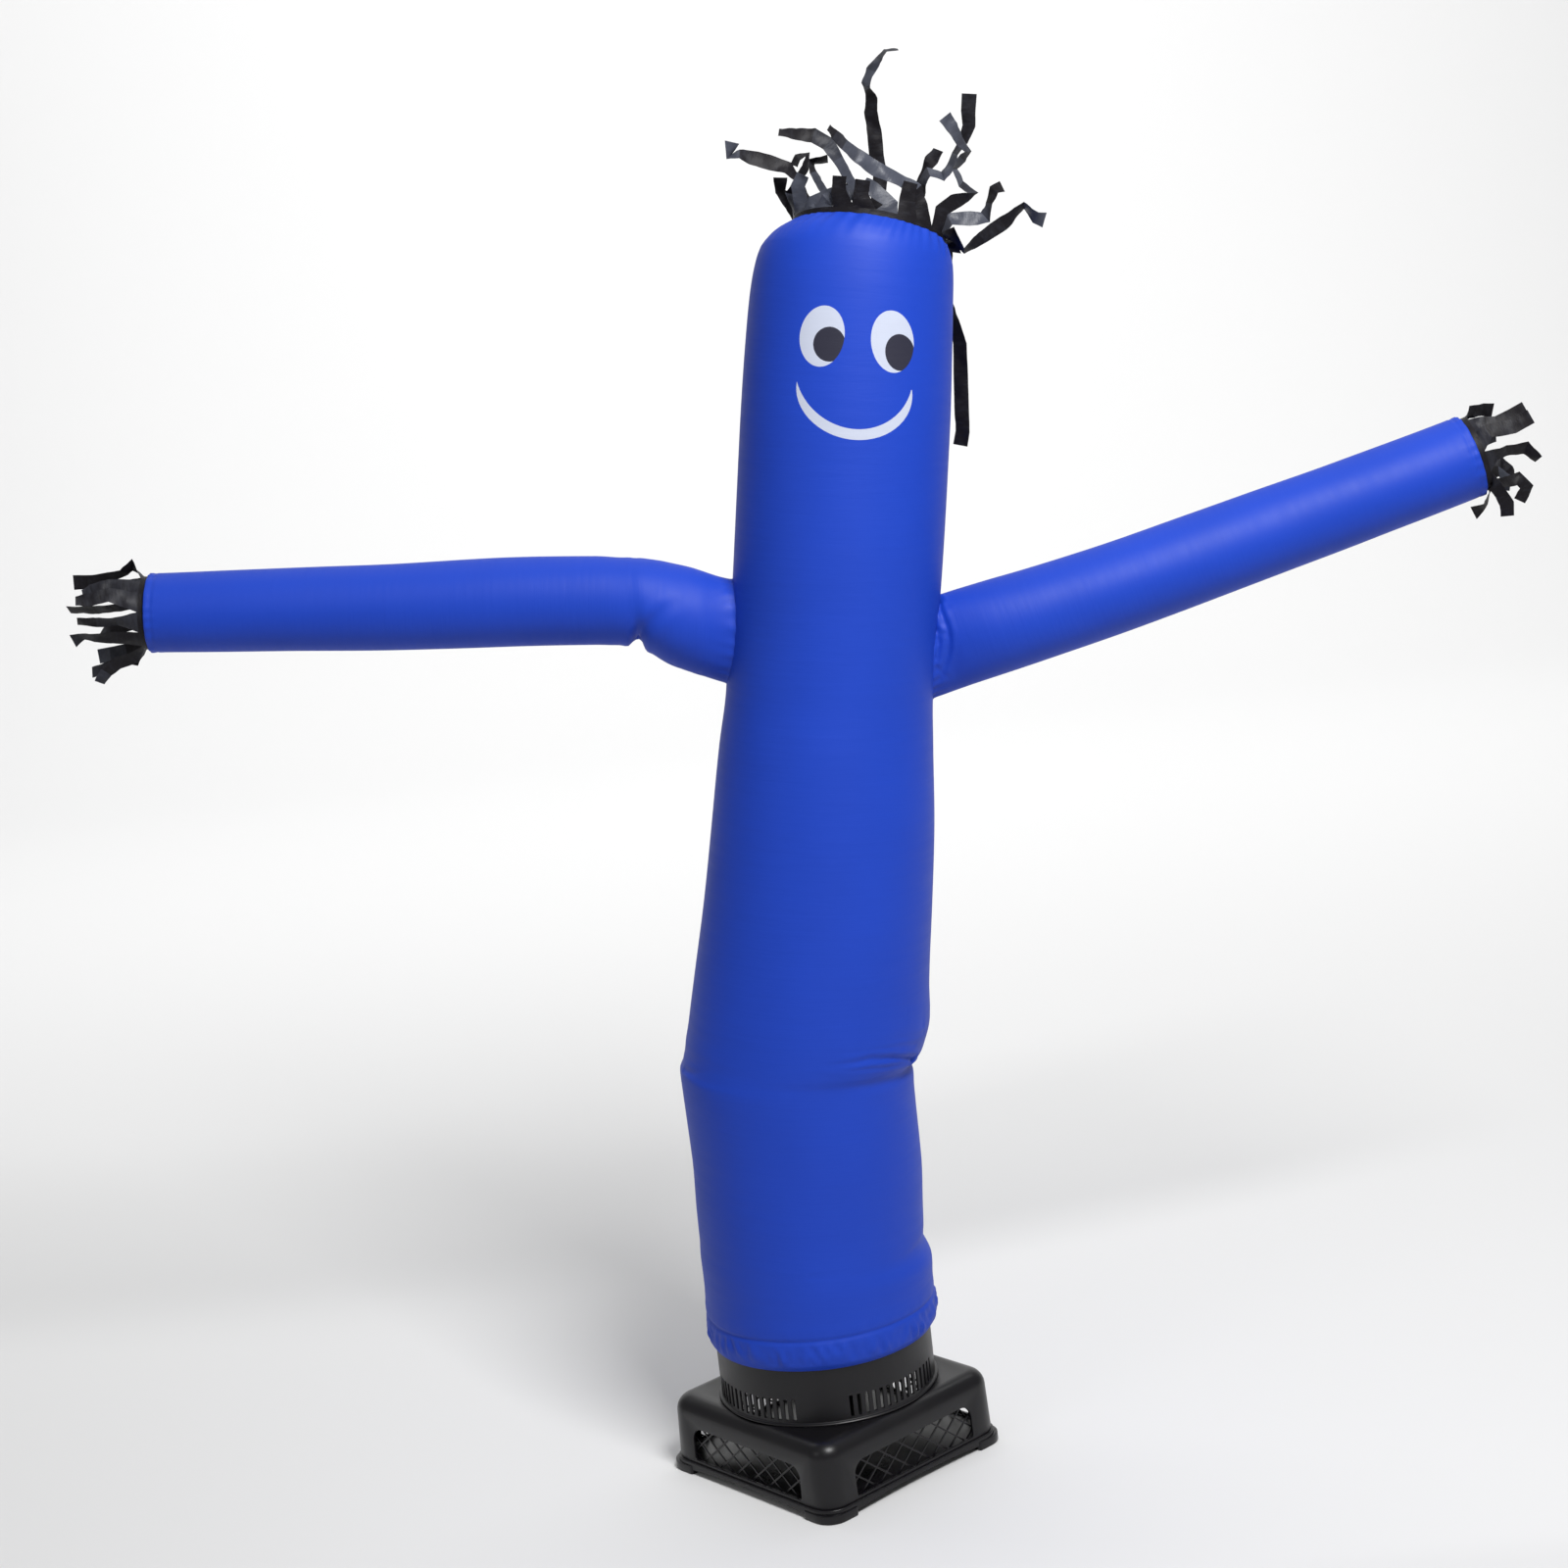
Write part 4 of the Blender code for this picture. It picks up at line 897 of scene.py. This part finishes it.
def ribbon_fringe(name, centre, axis, first_spoke, radius, strip_table, material):
    """Ribbons cut side by side out of one band that is sewn inside a tube's open end."""
    second_spoke = axis.cross(first_spoke)
    pitch = 2 * math.pi / len(strip_table)
    width = cloth().ribbon_width
    bm = bmesh.new()
    uv = bm.loops.layers.uv.new("cloth")
    # Each face's share of painted sheen, the lights' reflection painted as grey colour
    painted_sheen_layer = bm.faces.layers.float.new("painted_sheen_share")

    def quad(corners, uvs, light):
        face = bm.faces.new(corners)
        face.smooth = True
        face[painted_sheen_layer] = light
        for loop, place in zip(face.loops, uvs):
            loop[uv].uv = place

    count = len(strip_table) * RIBBON_COLUMNS
    columns = [(step / RIBBON_COLUMNS - 0.5) * pitch for step in range(count)]
    levels = (-BACKING_DEPTH, -0.004, 0.002, BAND_PROUD)
    grid = []
    for level in levels:
        row = []
        for turn in columns:
            spoke = first_spoke * math.cos(turn) + second_spoke * math.sin(turn)
            row.append(bm.verts.new(centre + spoke * radius + axis * level))
        grid.append(row)
    for low, high, level, next_level in zip(grid, grid[1:], levels, levels[1:]):
        for i in range(count):
            j = (i + 1) % count
            u, w = i * width / RIBBON_COLUMNS, (i + 1) * width / RIBBON_COLUMNS
            places = (u, level), (w, level), (w, next_level), (u, next_level)
            quad((low[i], low[j], high[j], high[i]), places, 0.0)
    for index, strip in enumerate(strip_table):
        first = index * RIBBON_COLUMNS
        row = [grid[-1][(first + step) % count] for step in range(RIBBON_COLUMNS + 1)]
        side = (row[-1].co - row[0].co).normalized()
        root = (row[0].co + row[-1].co) / 2
        points, widths = strip_nodes(root, axis, side, strip)
        before = [v.co.copy() for v in row]
        travelled = index * 0.37
        for bend, point, across in zip(strip.bends, points[1:], widths[1:]):
            shares = [step / RIBBON_COLUMNS - 0.5 for step in range(RIBBON_COLUMNS + 1)]
            after = [point + across * width * share for share in shares]
            length = (point - (before[0] + before[-1]) / 2).length
            rows = max(2, round(length / RIBBON_ROW))
            normal = (point - (before[0] + before[-1]) / 2).cross(across).normalized()
            cup = RIBBON_CUP * noise.noise(Vector((index * 3.1, travelled * 61, 0.5)))
            for step in range(1, rows + 1):
                t = step / rows
                swell = math.sin(math.pi * t)
                new_row = []
                for column, share in enumerate(shares):
                    co = before[column].lerp(after[column], t)
                    rough = noise.noise(co * 70 + Vector((index * 5.0, 0, 0)))
                    co += normal * swell * (cup * (1 - 4 * share * share) + RIBBON_CRUMPLE * rough)
                    new_row.append(bm.verts.new(co))
                low_v = travelled + length * (step - 1) / rows
                high_v = travelled + length * t
                for column in range(RIBBON_COLUMNS):
                    u, w = column * width / RIBBON_COLUMNS, (column + 1) * width / RIBBON_COLUMNS
                    corners = (row[column], row[column + 1], new_row[column + 1], new_row[column])
                    # The facet takes its stretch's share of painted sheen
                    quad(corners, ((u, low_v), (w, low_v), (w, high_v), (u, high_v)), bend.light)
                row = new_row
            before = after
            travelled += length
    obj = finish_cloth(name, bm, material, cloth().ribbon_thickness, middle=True)
    obj.data.set_sharp_from_angle(angle=math.radians(28))
    return obj


# Hard pieces, modelled with Blender's own tools


def deselect():
    bpy.ops.object.select_all(action="DESELECT")


def mode(name):
    bpy.ops.object.mode_set(mode=name)


def apply_place():
    bpy.ops.object.transform_apply(location=True, rotation=True, scale=True)


def only(obj):
    """Selects one object and nothing else."""
    deselect()
    obj.select_set(True)
    bpy.context.view_layer.objects.active = obj


def add_box(name, low, high):
    deselect()
    low, high = Vector(low), Vector(high)
    bpy.ops.mesh.primitive_cube_add(size=1, location=(low + high) / 2, scale=high - low)
    obj = bpy.context.object
    obj.name = name
    apply_place()
    return obj


def select_where(obj, kind, chosen):
    """Selects the faces or edges that pass a test, in edit mode, and nothing else."""
    bpy.ops.mesh.select_mode(type=kind)
    bpy.ops.mesh.select_all(action="DESELECT")
    bm = bmesh.from_edit_mesh(obj.data)
    for item in bm.faces if kind == "FACE" else bm.edges:
        if chosen(item):
            item.select_set(True)
    bmesh.update_edit_mesh(obj.data)


def runs_along(edge, axis):
    run = (edge.verts[1].co - edge.verts[0].co).normalized()
    return abs(run[axis]) > 0.95


def middle_of(edge):
    return (edge.verts[0].co + edge.verts[1].co) / 2


def all_above(item, z):
    return all(vert.co.z > z for vert in item.verts)


def all_below(item, z):
    return all(vert.co.z < z for vert in item.verts)


def round_edges(obj, chosen, width, segments):
    select_where(obj, "EDGE", chosen)
    bpy.ops.mesh.bevel(offset=width, segments=segments, profile=0.5, affect="EDGES")


def turned_copies(obj, turns):
    """Copies of a piece turned about the outlet's axis, joined with it into one."""
    copies = []
    for turn in turns:
        copy = bpy.data.objects.new(obj.name, obj.data.copy())
        copy.data.transform(Matrix.Rotation(turn, 4, "Z"))
        bpy.context.scene.collection.objects.link(copy)
        copies.append(copy)
    bpy.data.objects.remove(obj)
    only(copies[0])
    for copy in copies:
        copy.select_set(True)
    bpy.ops.object.join()
    return bpy.context.object


def apply_modifier(obj, name, kind, **settings):
    modifier = obj.modifiers.new(name, kind)
    for key, value in settings.items():
        setattr(modifier, key, value)
    only(obj)
    bpy.ops.object.modifier_apply(modifier=modifier.name)


def cut(obj, cutter, operation="DIFFERENCE"):
    apply_modifier(obj, "cut", "BOOLEAN", operation=operation, solver="EXACT", object=cutter)
    bpy.data.objects.remove(cutter)


def settle(obj, material):
    """Turns a finished blower piece to its place, shades it and gives it its material."""
    obj.data.transform(Matrix.Translation((AXIS_X, 0, 0)) @ Matrix.Rotation(BLOWER_TURN, 4, "Z"))
    only(obj)
    bpy.ops.object.shade_smooth_by_angle(angle=math.radians(32))
    obj.data.materials.clear()
    obj.data.materials.append(material)
    return obj


def housing_cover():
    """Square cover with rounded corners and top edge, four windows and the round outlet."""
    s = blower()
    half = s.housing_width / 2
    obj = add_box("housing_cover", (-half, -half, HOUSING_LOW), (half, half, HOUSING_TOP))
    mode("EDIT")
    select_where(obj, "FACE", lambda f: f.normal.z > 0.9)
    bpy.ops.transform.resize(value=(HOUSING_DRAFT, HOUSING_DRAFT, 1), center_override=(0, 0, HOUSING_TOP))
    round_edges(obj, lambda e: runs_along(e, 2), s.housing_corner, 12)
    round_edges(obj, lambda e: all_above(e, HOUSING_TOP - 0.0001), s.housing_edge, 9)
    select_where(obj, "FACE", lambda f: all_below(f, HOUSING_LOW + 0.0001))
    bpy.ops.mesh.delete(type="FACE")
    mode("OBJECT")
    apply_modifier(obj, "wall", "SOLIDIFY", thickness=PLASTIC, offset=-1.0, use_even_offset=True)
    window = add_box("window", (half - 0.02, -s.window_width / 2, WINDOW_LOW),
                     (half + 0.02, s.window_width / 2, WINDOW_HIGH))
    mode("EDIT")
    split = (WINDOW_LOW + WINDOW_HIGH) / 2
    round_edges(window, lambda e: runs_along(e, 0) and middle_of(e).z > split, s.window_corner, 10)
    round_edges(window, lambda e: runs_along(e, 0) and middle_of(e).z < split, 0.004, 4)
    mode("OBJECT")
    cut(obj, turned_copies(window, [math.pi / 2 * side for side in range(4)]))
    deselect()
    bpy.ops.mesh.primitive_cylinder_add(
        vertices=144, radius=s.collar_radius - PLASTIC, depth=0.04, location=(0, 0, HOUSING_TOP))
    outlet = bpy.context.object
    apply_place()
    cut(obj, outlet)
    apply_modifier(obj, "edge", "BEVEL", width=0.0009, segments=2, limit_method="ANGLE",
                   angle_limit=math.radians(50), use_clamp_overlap=True)
    return settle(obj, moulded_abs("moulded_abs_cover", 0.36))


def outlet_collar():
    """Round collar turned from its profile, with a foot bead and four groups of slots."""
    s = blower()
    radius = s.collar_radius
    inner = radius - PLASTIC
    bead = [(radius + mm(out)[0], COLLAR_LOW + mm(up)[0]) for out, up in FOOT_BEAD]
    profile = [(inner, COLLAR_LOW), *bead, (radius, COLLAR_TOP - 0.001), (radius - 0.001, COLLAR_TOP),
               (inner + 0.001, COLLAR_TOP), (inner, COLLAR_TOP - 0.001), (inner, COLLAR_LOW)]
    deselect()
    bpy.ops.mesh.primitive_plane_add(size=0.002, location=(profile[0][0], 0, profile[0][1]))
    obj = bpy.context.object
    obj.name = "outlet_collar"
    apply_place()
    mode("EDIT")
    bpy.ops.mesh.select_mode(type="VERT")
    bpy.ops.mesh.select_all(action="SELECT")
    bpy.ops.mesh.merge(type="CENTER")
    for (x, z), (next_x, next_z) in zip(profile, profile[1:]):
        bpy.ops.mesh.extrude_region_move(TRANSFORM_OT_translate={"value": (next_x - x, 0, next_z - z)})
    bpy.ops.mesh.select_all(action="SELECT")
    bpy.ops.mesh.spin(steps=180, angle=2 * math.pi, center=(0, 0, 0), axis=(0, 0, 1))
    bpy.ops.mesh.select_all(action="SELECT")
    bpy.ops.mesh.remove_doubles(threshold=0.00002)
    bpy.ops.mesh.select_all(action="SELECT")
    bpy.ops.mesh.normals_make_consistent(inside=False)
    mode("OBJECT")
    half = radius * math.sin(s.slot_arc / 2)
    slot = add_box("slot", (radius - 0.010, -half, SLOT_LOW), (radius + 0.006, half, SLOT_HIGH))
    mode("EDIT")
    round_edges(slot, lambda e: runs_along(e, 0), 0.0011, 2)
    mode("OBJECT")
    turns = [side * math.pi / 2 + (number - (s.slots - 1) / 2) * s.slot_pitch
             for side in range(4) for number in range(s.slots)]
    cut(obj, turned_copies(slot, turns))
    return settle(obj, moulded_abs("moulded_abs_collar", 0.40))


def base_pan():
    """Base pan with an arched lip and a pad under each corner."""
    s = blower()
    half = s.pan_width / 2
    obj = add_box("base_pan", (-half, -half, PAN_LIP_LOW), (half, half, PAN_TOP))
    mode("EDIT")
    round_edges(obj, lambda e: runs_along(e, 2), s.pan_corner, 10)
    select_where(obj, "EDGE", lambda e: e.calc_length() > 0.2)
    bpy.ops.mesh.subdivide(number_cuts=15)
    select_where(obj, "FACE", lambda f: f.normal.z < -0.9)
    bpy.ops.mesh.inset(thickness=0.006, depth=0.0)
    bpy.ops.mesh.extrude_region_move(TRANSFORM_OT_translate={"value": (0, 0, PAN_UNDERSIDE - PAN_LIP_LOW)})
    round_edges(obj, lambda e: all_above(e, PAN_TOP - 0.0001) and len(e.link_faces) == 2
                and any(abs(f.normal.z) < 0.5 for f in e.link_faces), 0.0016, 3)
    reach = half - FOOT_LENGTH
    mesh = bmesh.from_edit_mesh(obj.data)
    for vert in mesh.verts:
        run = min(abs(vert.co.x), abs(vert.co.y))
        if vert.co.z < PAN_LIP_LOW + 0.0003 and run < reach:
            vert.co.z += PAN_ARCH * (1 - (run / reach) ** 2)
    bmesh.update_edit_mesh(obj.data)
    mode("OBJECT")
    low = FOOT_HALF - FOOT_LENGTH
    foot = add_box("foot", (low, low, 0.0), (FOOT_HALF, FOOT_HALF, FOOT_HEIGHT + 0.0003))
    mode("EDIT")
    round_edges(foot, lambda e: runs_along(e, 2) and min(middle_of(e).xy) > low + 0.01, 0.030, 10)
    round_edges(foot, lambda e: runs_along(e, 2) and e.calc_length() > 0.01
                and (middle_of(e).x < low + 0.001) != (middle_of(e).y < low + 0.001), 0.004, 4)
    round_edges(foot, lambda e: all_below(e, 0.0001) or all_above(e, FOOT_HEIGHT), 0.0012, 2)
    mode("OBJECT")
    cut(obj, turned_copies(foot, [math.pi / 2 * side for side in range(4)]), operation="UNION")
    return settle(obj, moulded_abs("moulded_abs_pan", 0.30))


class Panelled:
    """What the operators share."""
    bl_options = {"REGISTER", "UNDO"}


class DANCER_OT_body(Panelled, bpy.types.Operator):
    """Sews the body tube with its hem, creases, armholes, gathered mouth and printed face"""
    bl_idname = "dancer.body"
    bl_label = "Body tube"

    def execute(self, context):
        obj = body_cloth()
        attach(obj, "root")
        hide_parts("dancer_body")
        return {"FINISHED"}


class DANCER_OT_arms(Panelled, bpy.types.Operator):
    """Sews both sleeves to the body, with the elbow's fold and the crumpled shoulder"""
    bl_idname = "dancer.arms"
    bl_label = "Sleeves"

    def execute(self, context):
        material = nylon_taffeta(with_face=False)
        for side, rings, lean, folds in (("left", *LEFT, LEFT_CREASES), ("right", *RIGHT, RIGHT_CREASES)):
            obj = arm_cloth(f"sleeve_{side}", ArmTube(rings, lean), folds, material)
            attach(obj, "root")
            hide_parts(f"arm_{side}")
        return {"FINISHED"}


class DANCER_OT_fringes(Panelled, bpy.types.Operator):
    """Sews the hair into the head's mouth and the hands into the cuffs"""
    bl_idname = "dancer.fringes"
    bl_label = "Ribbon fringes"

    def execute(self, context):
        material = satin_ribbon()
        centre, across, _, out, _, _ = BodyTube().section(BODY[-1].z)
        rows = [("hair_ribbons", "hair_fringe", centre, out, across, HAIR_BACKING_RADIUS, HAIR)]
        hands = (("left", *LEFT, LEFT_BACKING_RADIUS, LEFT_HAND),
                 ("right", *RIGHT, RIGHT_BACKING_RADIUS, RIGHT_HAND))
        for side, rings, lean, radius, table in hands:
            tube = ArmTube(rings, lean)
            rows.append((f"hand_ribbons_{side}", f"hand_fringe_{side}", tube.ring(tube.end)[0],
                         tube.out, tube.up, radius, table))
        for name, node, centre, out, first_spoke, radius, table in rows:
            obj = ribbon_fringe(name, centre, out, first_spoke, radius, table, material)
            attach(obj, "root")
            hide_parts(node)
        return {"FINISHED"}


class DANCER_OT_declare(Panelled, bpy.types.Operator):
    """Does nothing: the flat sizes of the cloth are not stated"""
    bl_idname = "dancer.declare"
    bl_label = "Cloth sizes"

    def execute(self, context):
        return {"FINISHED"}


class DANCER_OT_housing(Panelled, bpy.types.Operator):
    """Moulds the blower's square cover with its four windows"""
    bl_idname = "dancer.housing"
    bl_label = "Blower cover"

    def execute(self, context):
        obj = housing_cover()
        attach(obj, "root")
        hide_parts("blower_housing")
        return {"FINISHED"}


class DANCER_OT_collar(Panelled, bpy.types.Operator):
    """Turns the blower's round slotted collar"""
    bl_idname = "dancer.collar"
    bl_label = "Outlet collar"

    def execute(self, context):
        obj = outlet_collar()
        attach(obj, "root")
        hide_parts("blower_collar")
        return {"FINISHED"}


class DANCER_OT_pan(Panelled, bpy.types.Operator):
    """Moulds the base pan with its corner pads"""
    bl_idname = "dancer.pan"
    bl_label = "Base pan"

    def execute(self, context):
        obj = base_pan()
        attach(obj, "root")
        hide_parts("blower_base")
        return {"FINISHED"}


class DANCER_OT_grilles(Panelled, bpy.types.Operator):
    """Gives the four lattice grilles their moulded finish"""
    bl_idname = "dancer.grilles"
    bl_label = "Grilles"

    def execute(self, context):
        material = moulded_abs("moulded_abs_grille", 0.34)
        for name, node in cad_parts.items():
            if name.startswith("grille_"):
                for holder in node.material_slots:
                    holder.material = material
        return {"FINISHED"}


class DANCER_OT_stage(Panelled, bpy.types.Operator):
    """Sets the pale floor, the soft lights and the camera"""
    bl_idname = "dancer.stage"
    bl_label = "Studio"

    def execute(self, context):
        build_camera()
        build_floor()
        build_lights()
        return {"FINISHED"}


# The photograph's camera, fitted to the blower
CAMERA_PITCH = math.radians(10.719)
CAMERA_ROLL = math.radians(-6.562)
CAMERA_PLACE = (0.0339 + AXIS_X, -3.6834, 1.6731)


def build_camera():
    """The photograph's camera, which looks down and is rolled a little."""
    pitch, roll = CAMERA_PITCH, CAMERA_ROLL
    forward = Vector((0, math.cos(pitch), -math.sin(pitch)))
    up = Vector((0, math.sin(pitch), math.cos(pitch)))
    right = Vector((1, 0, 0))
    rolled_right = right * math.cos(roll) + up * math.sin(roll)
    rolled_up = up * math.cos(roll) - right * math.sin(roll)
    camera = bpy.data.cameras.new("camera")
    camera.lens = studio().lens * 1000
    camera.sensor_width = 36
    obj = bpy.data.objects.new("camera", camera)
    matrix = Matrix((rolled_right, rolled_up, -forward)).transposed().to_4x4()
    matrix.translation = Vector(CAMERA_PLACE)
    obj.matrix_world = matrix
    bpy.context.scene.collection.objects.link(obj)
    bpy.context.scene.camera = obj


def build_floor():
    """A wide floor that curves up into a backdrop well behind the figure."""
    deselect()
    bpy.ops.mesh.primitive_plane_add(size=30, location=(0, -5.0, 0))
    obj = bpy.context.object
    obj.name = "studio_floor"
    apply_place()
    mode("EDIT")
    select_where(obj, "EDGE", lambda e: middle_of(e).y > 9.9)
    bpy.ops.mesh.extrude_region_move(TRANSFORM_OT_translate={"value": (0, 0, 9)})
    round_edges(obj, lambda e: len(e.link_faces) == 2, 4.0, 16)
    mode("OBJECT")
    bpy.ops.object.shade_smooth()
    material, _, shader = new_material("painted_studio_floor", 0.9, specular=0.1)
    shader.inputs["Base Color"].default_value = opaque(studio().floor)
    obj.data.materials.append(material)


def build_lights():
    """A dim white surround, a large key light, a weak fill and a wash on the backdrop."""
    scene, s = bpy.context.scene, studio()
    world = bpy.data.worlds.new("studio")
    world.use_nodes = True
    background = world.node_tree.nodes["Background"]
    background.inputs["Color"].default_value = (1, 1, 1, 1)
    background.inputs["Strength"].default_value = 0.26
    scene.world = world
    scene.view_settings.view_transform = "Standard"
    for name, power, size, place, target in (
            ("key_upper_right", s.key_power, (1.3, 1.3), (1.15, -2.4, 3.8), (0.30, 0, 1.4)),
            ("fill_left", s.fill_power, (1.2, 1.8), (-3.0, -2.6, 2.4), (0.1, 0, 1.3)),
            ("backdrop_wash", s.wash_power, (10.0, 2.5), (0, 3.0, 7.0), (0, 9.5, 2.5))):
        light = bpy.data.lights.new(name, "AREA")
        light.shape = "RECTANGLE"
        light.size, light.size_y = size
        light.energy = power
        obj = bpy.data.objects.new(name, light)
        toward = (Vector(target) - Vector(place)).normalized()
        matrix = toward.to_track_quat("-Z", "Y").to_matrix().to_4x4()
        matrix.translation = Vector(place)
        obj.matrix_world = matrix
        scene.collection.objects.link(obj)


class DANCER_PT_sidebar(bpy.types.Panel):
    """Lists the steps that build the air dancer"""
    bl_idname = "DANCER_PT_sidebar"
    bl_label = "Air Dancer"
    bl_space_type = "VIEW_3D"
    bl_region_type = "UI"
    bl_category = "Air Dancer"

    def draw(self, context):
        for settings in (cloth(), blower(), studio()):
            box = self.layout.box()
            for name in settings.__annotations__:
                box.prop(settings, name)
        for operator in OPERATORS:
            self.layout.operator(operator.bl_idname)


SETTINGS = (ClothSettings, BlowerSettings, StudioSettings)
OPERATORS = (
    DANCER_OT_stage, DANCER_OT_body, DANCER_OT_arms, DANCER_OT_fringes, DANCER_OT_housing,
    DANCER_OT_collar, DANCER_OT_pan, DANCER_OT_grilles, DANCER_OT_declare,
)


def register():
    for cls in (*SETTINGS, *OPERATORS, DANCER_PT_sidebar):
        bpy.utils.register_class(cls)
    bpy.types.Scene.dancer_cloth = PointerProperty(type=ClothSettings)
    bpy.types.Scene.dancer_blower = PointerProperty(type=BlowerSettings)
    bpy.types.Scene.dancer_studio = PointerProperty(type=StudioSettings)


def unregister():
    del bpy.types.Scene.dancer_studio
    del bpy.types.Scene.dancer_blower
    del bpy.types.Scene.dancer_cloth
    for cls in reversed((*SETTINGS, *OPERATORS, DANCER_PT_sidebar)):
        bpy.utils.unregister_class(cls)


def main():
    register()
    bpy.ops.dancer.stage()
    bpy.ops.dancer.body()
    bpy.ops.dancer.arms()
    bpy.ops.dancer.fringes()
    bpy.ops.dancer.housing()
    bpy.ops.dancer.collar()
    bpy.ops.dancer.pan()
    bpy.ops.dancer.grilles()
    bpy.ops.dancer.declare()


if __name__ == "__main__":
    main()
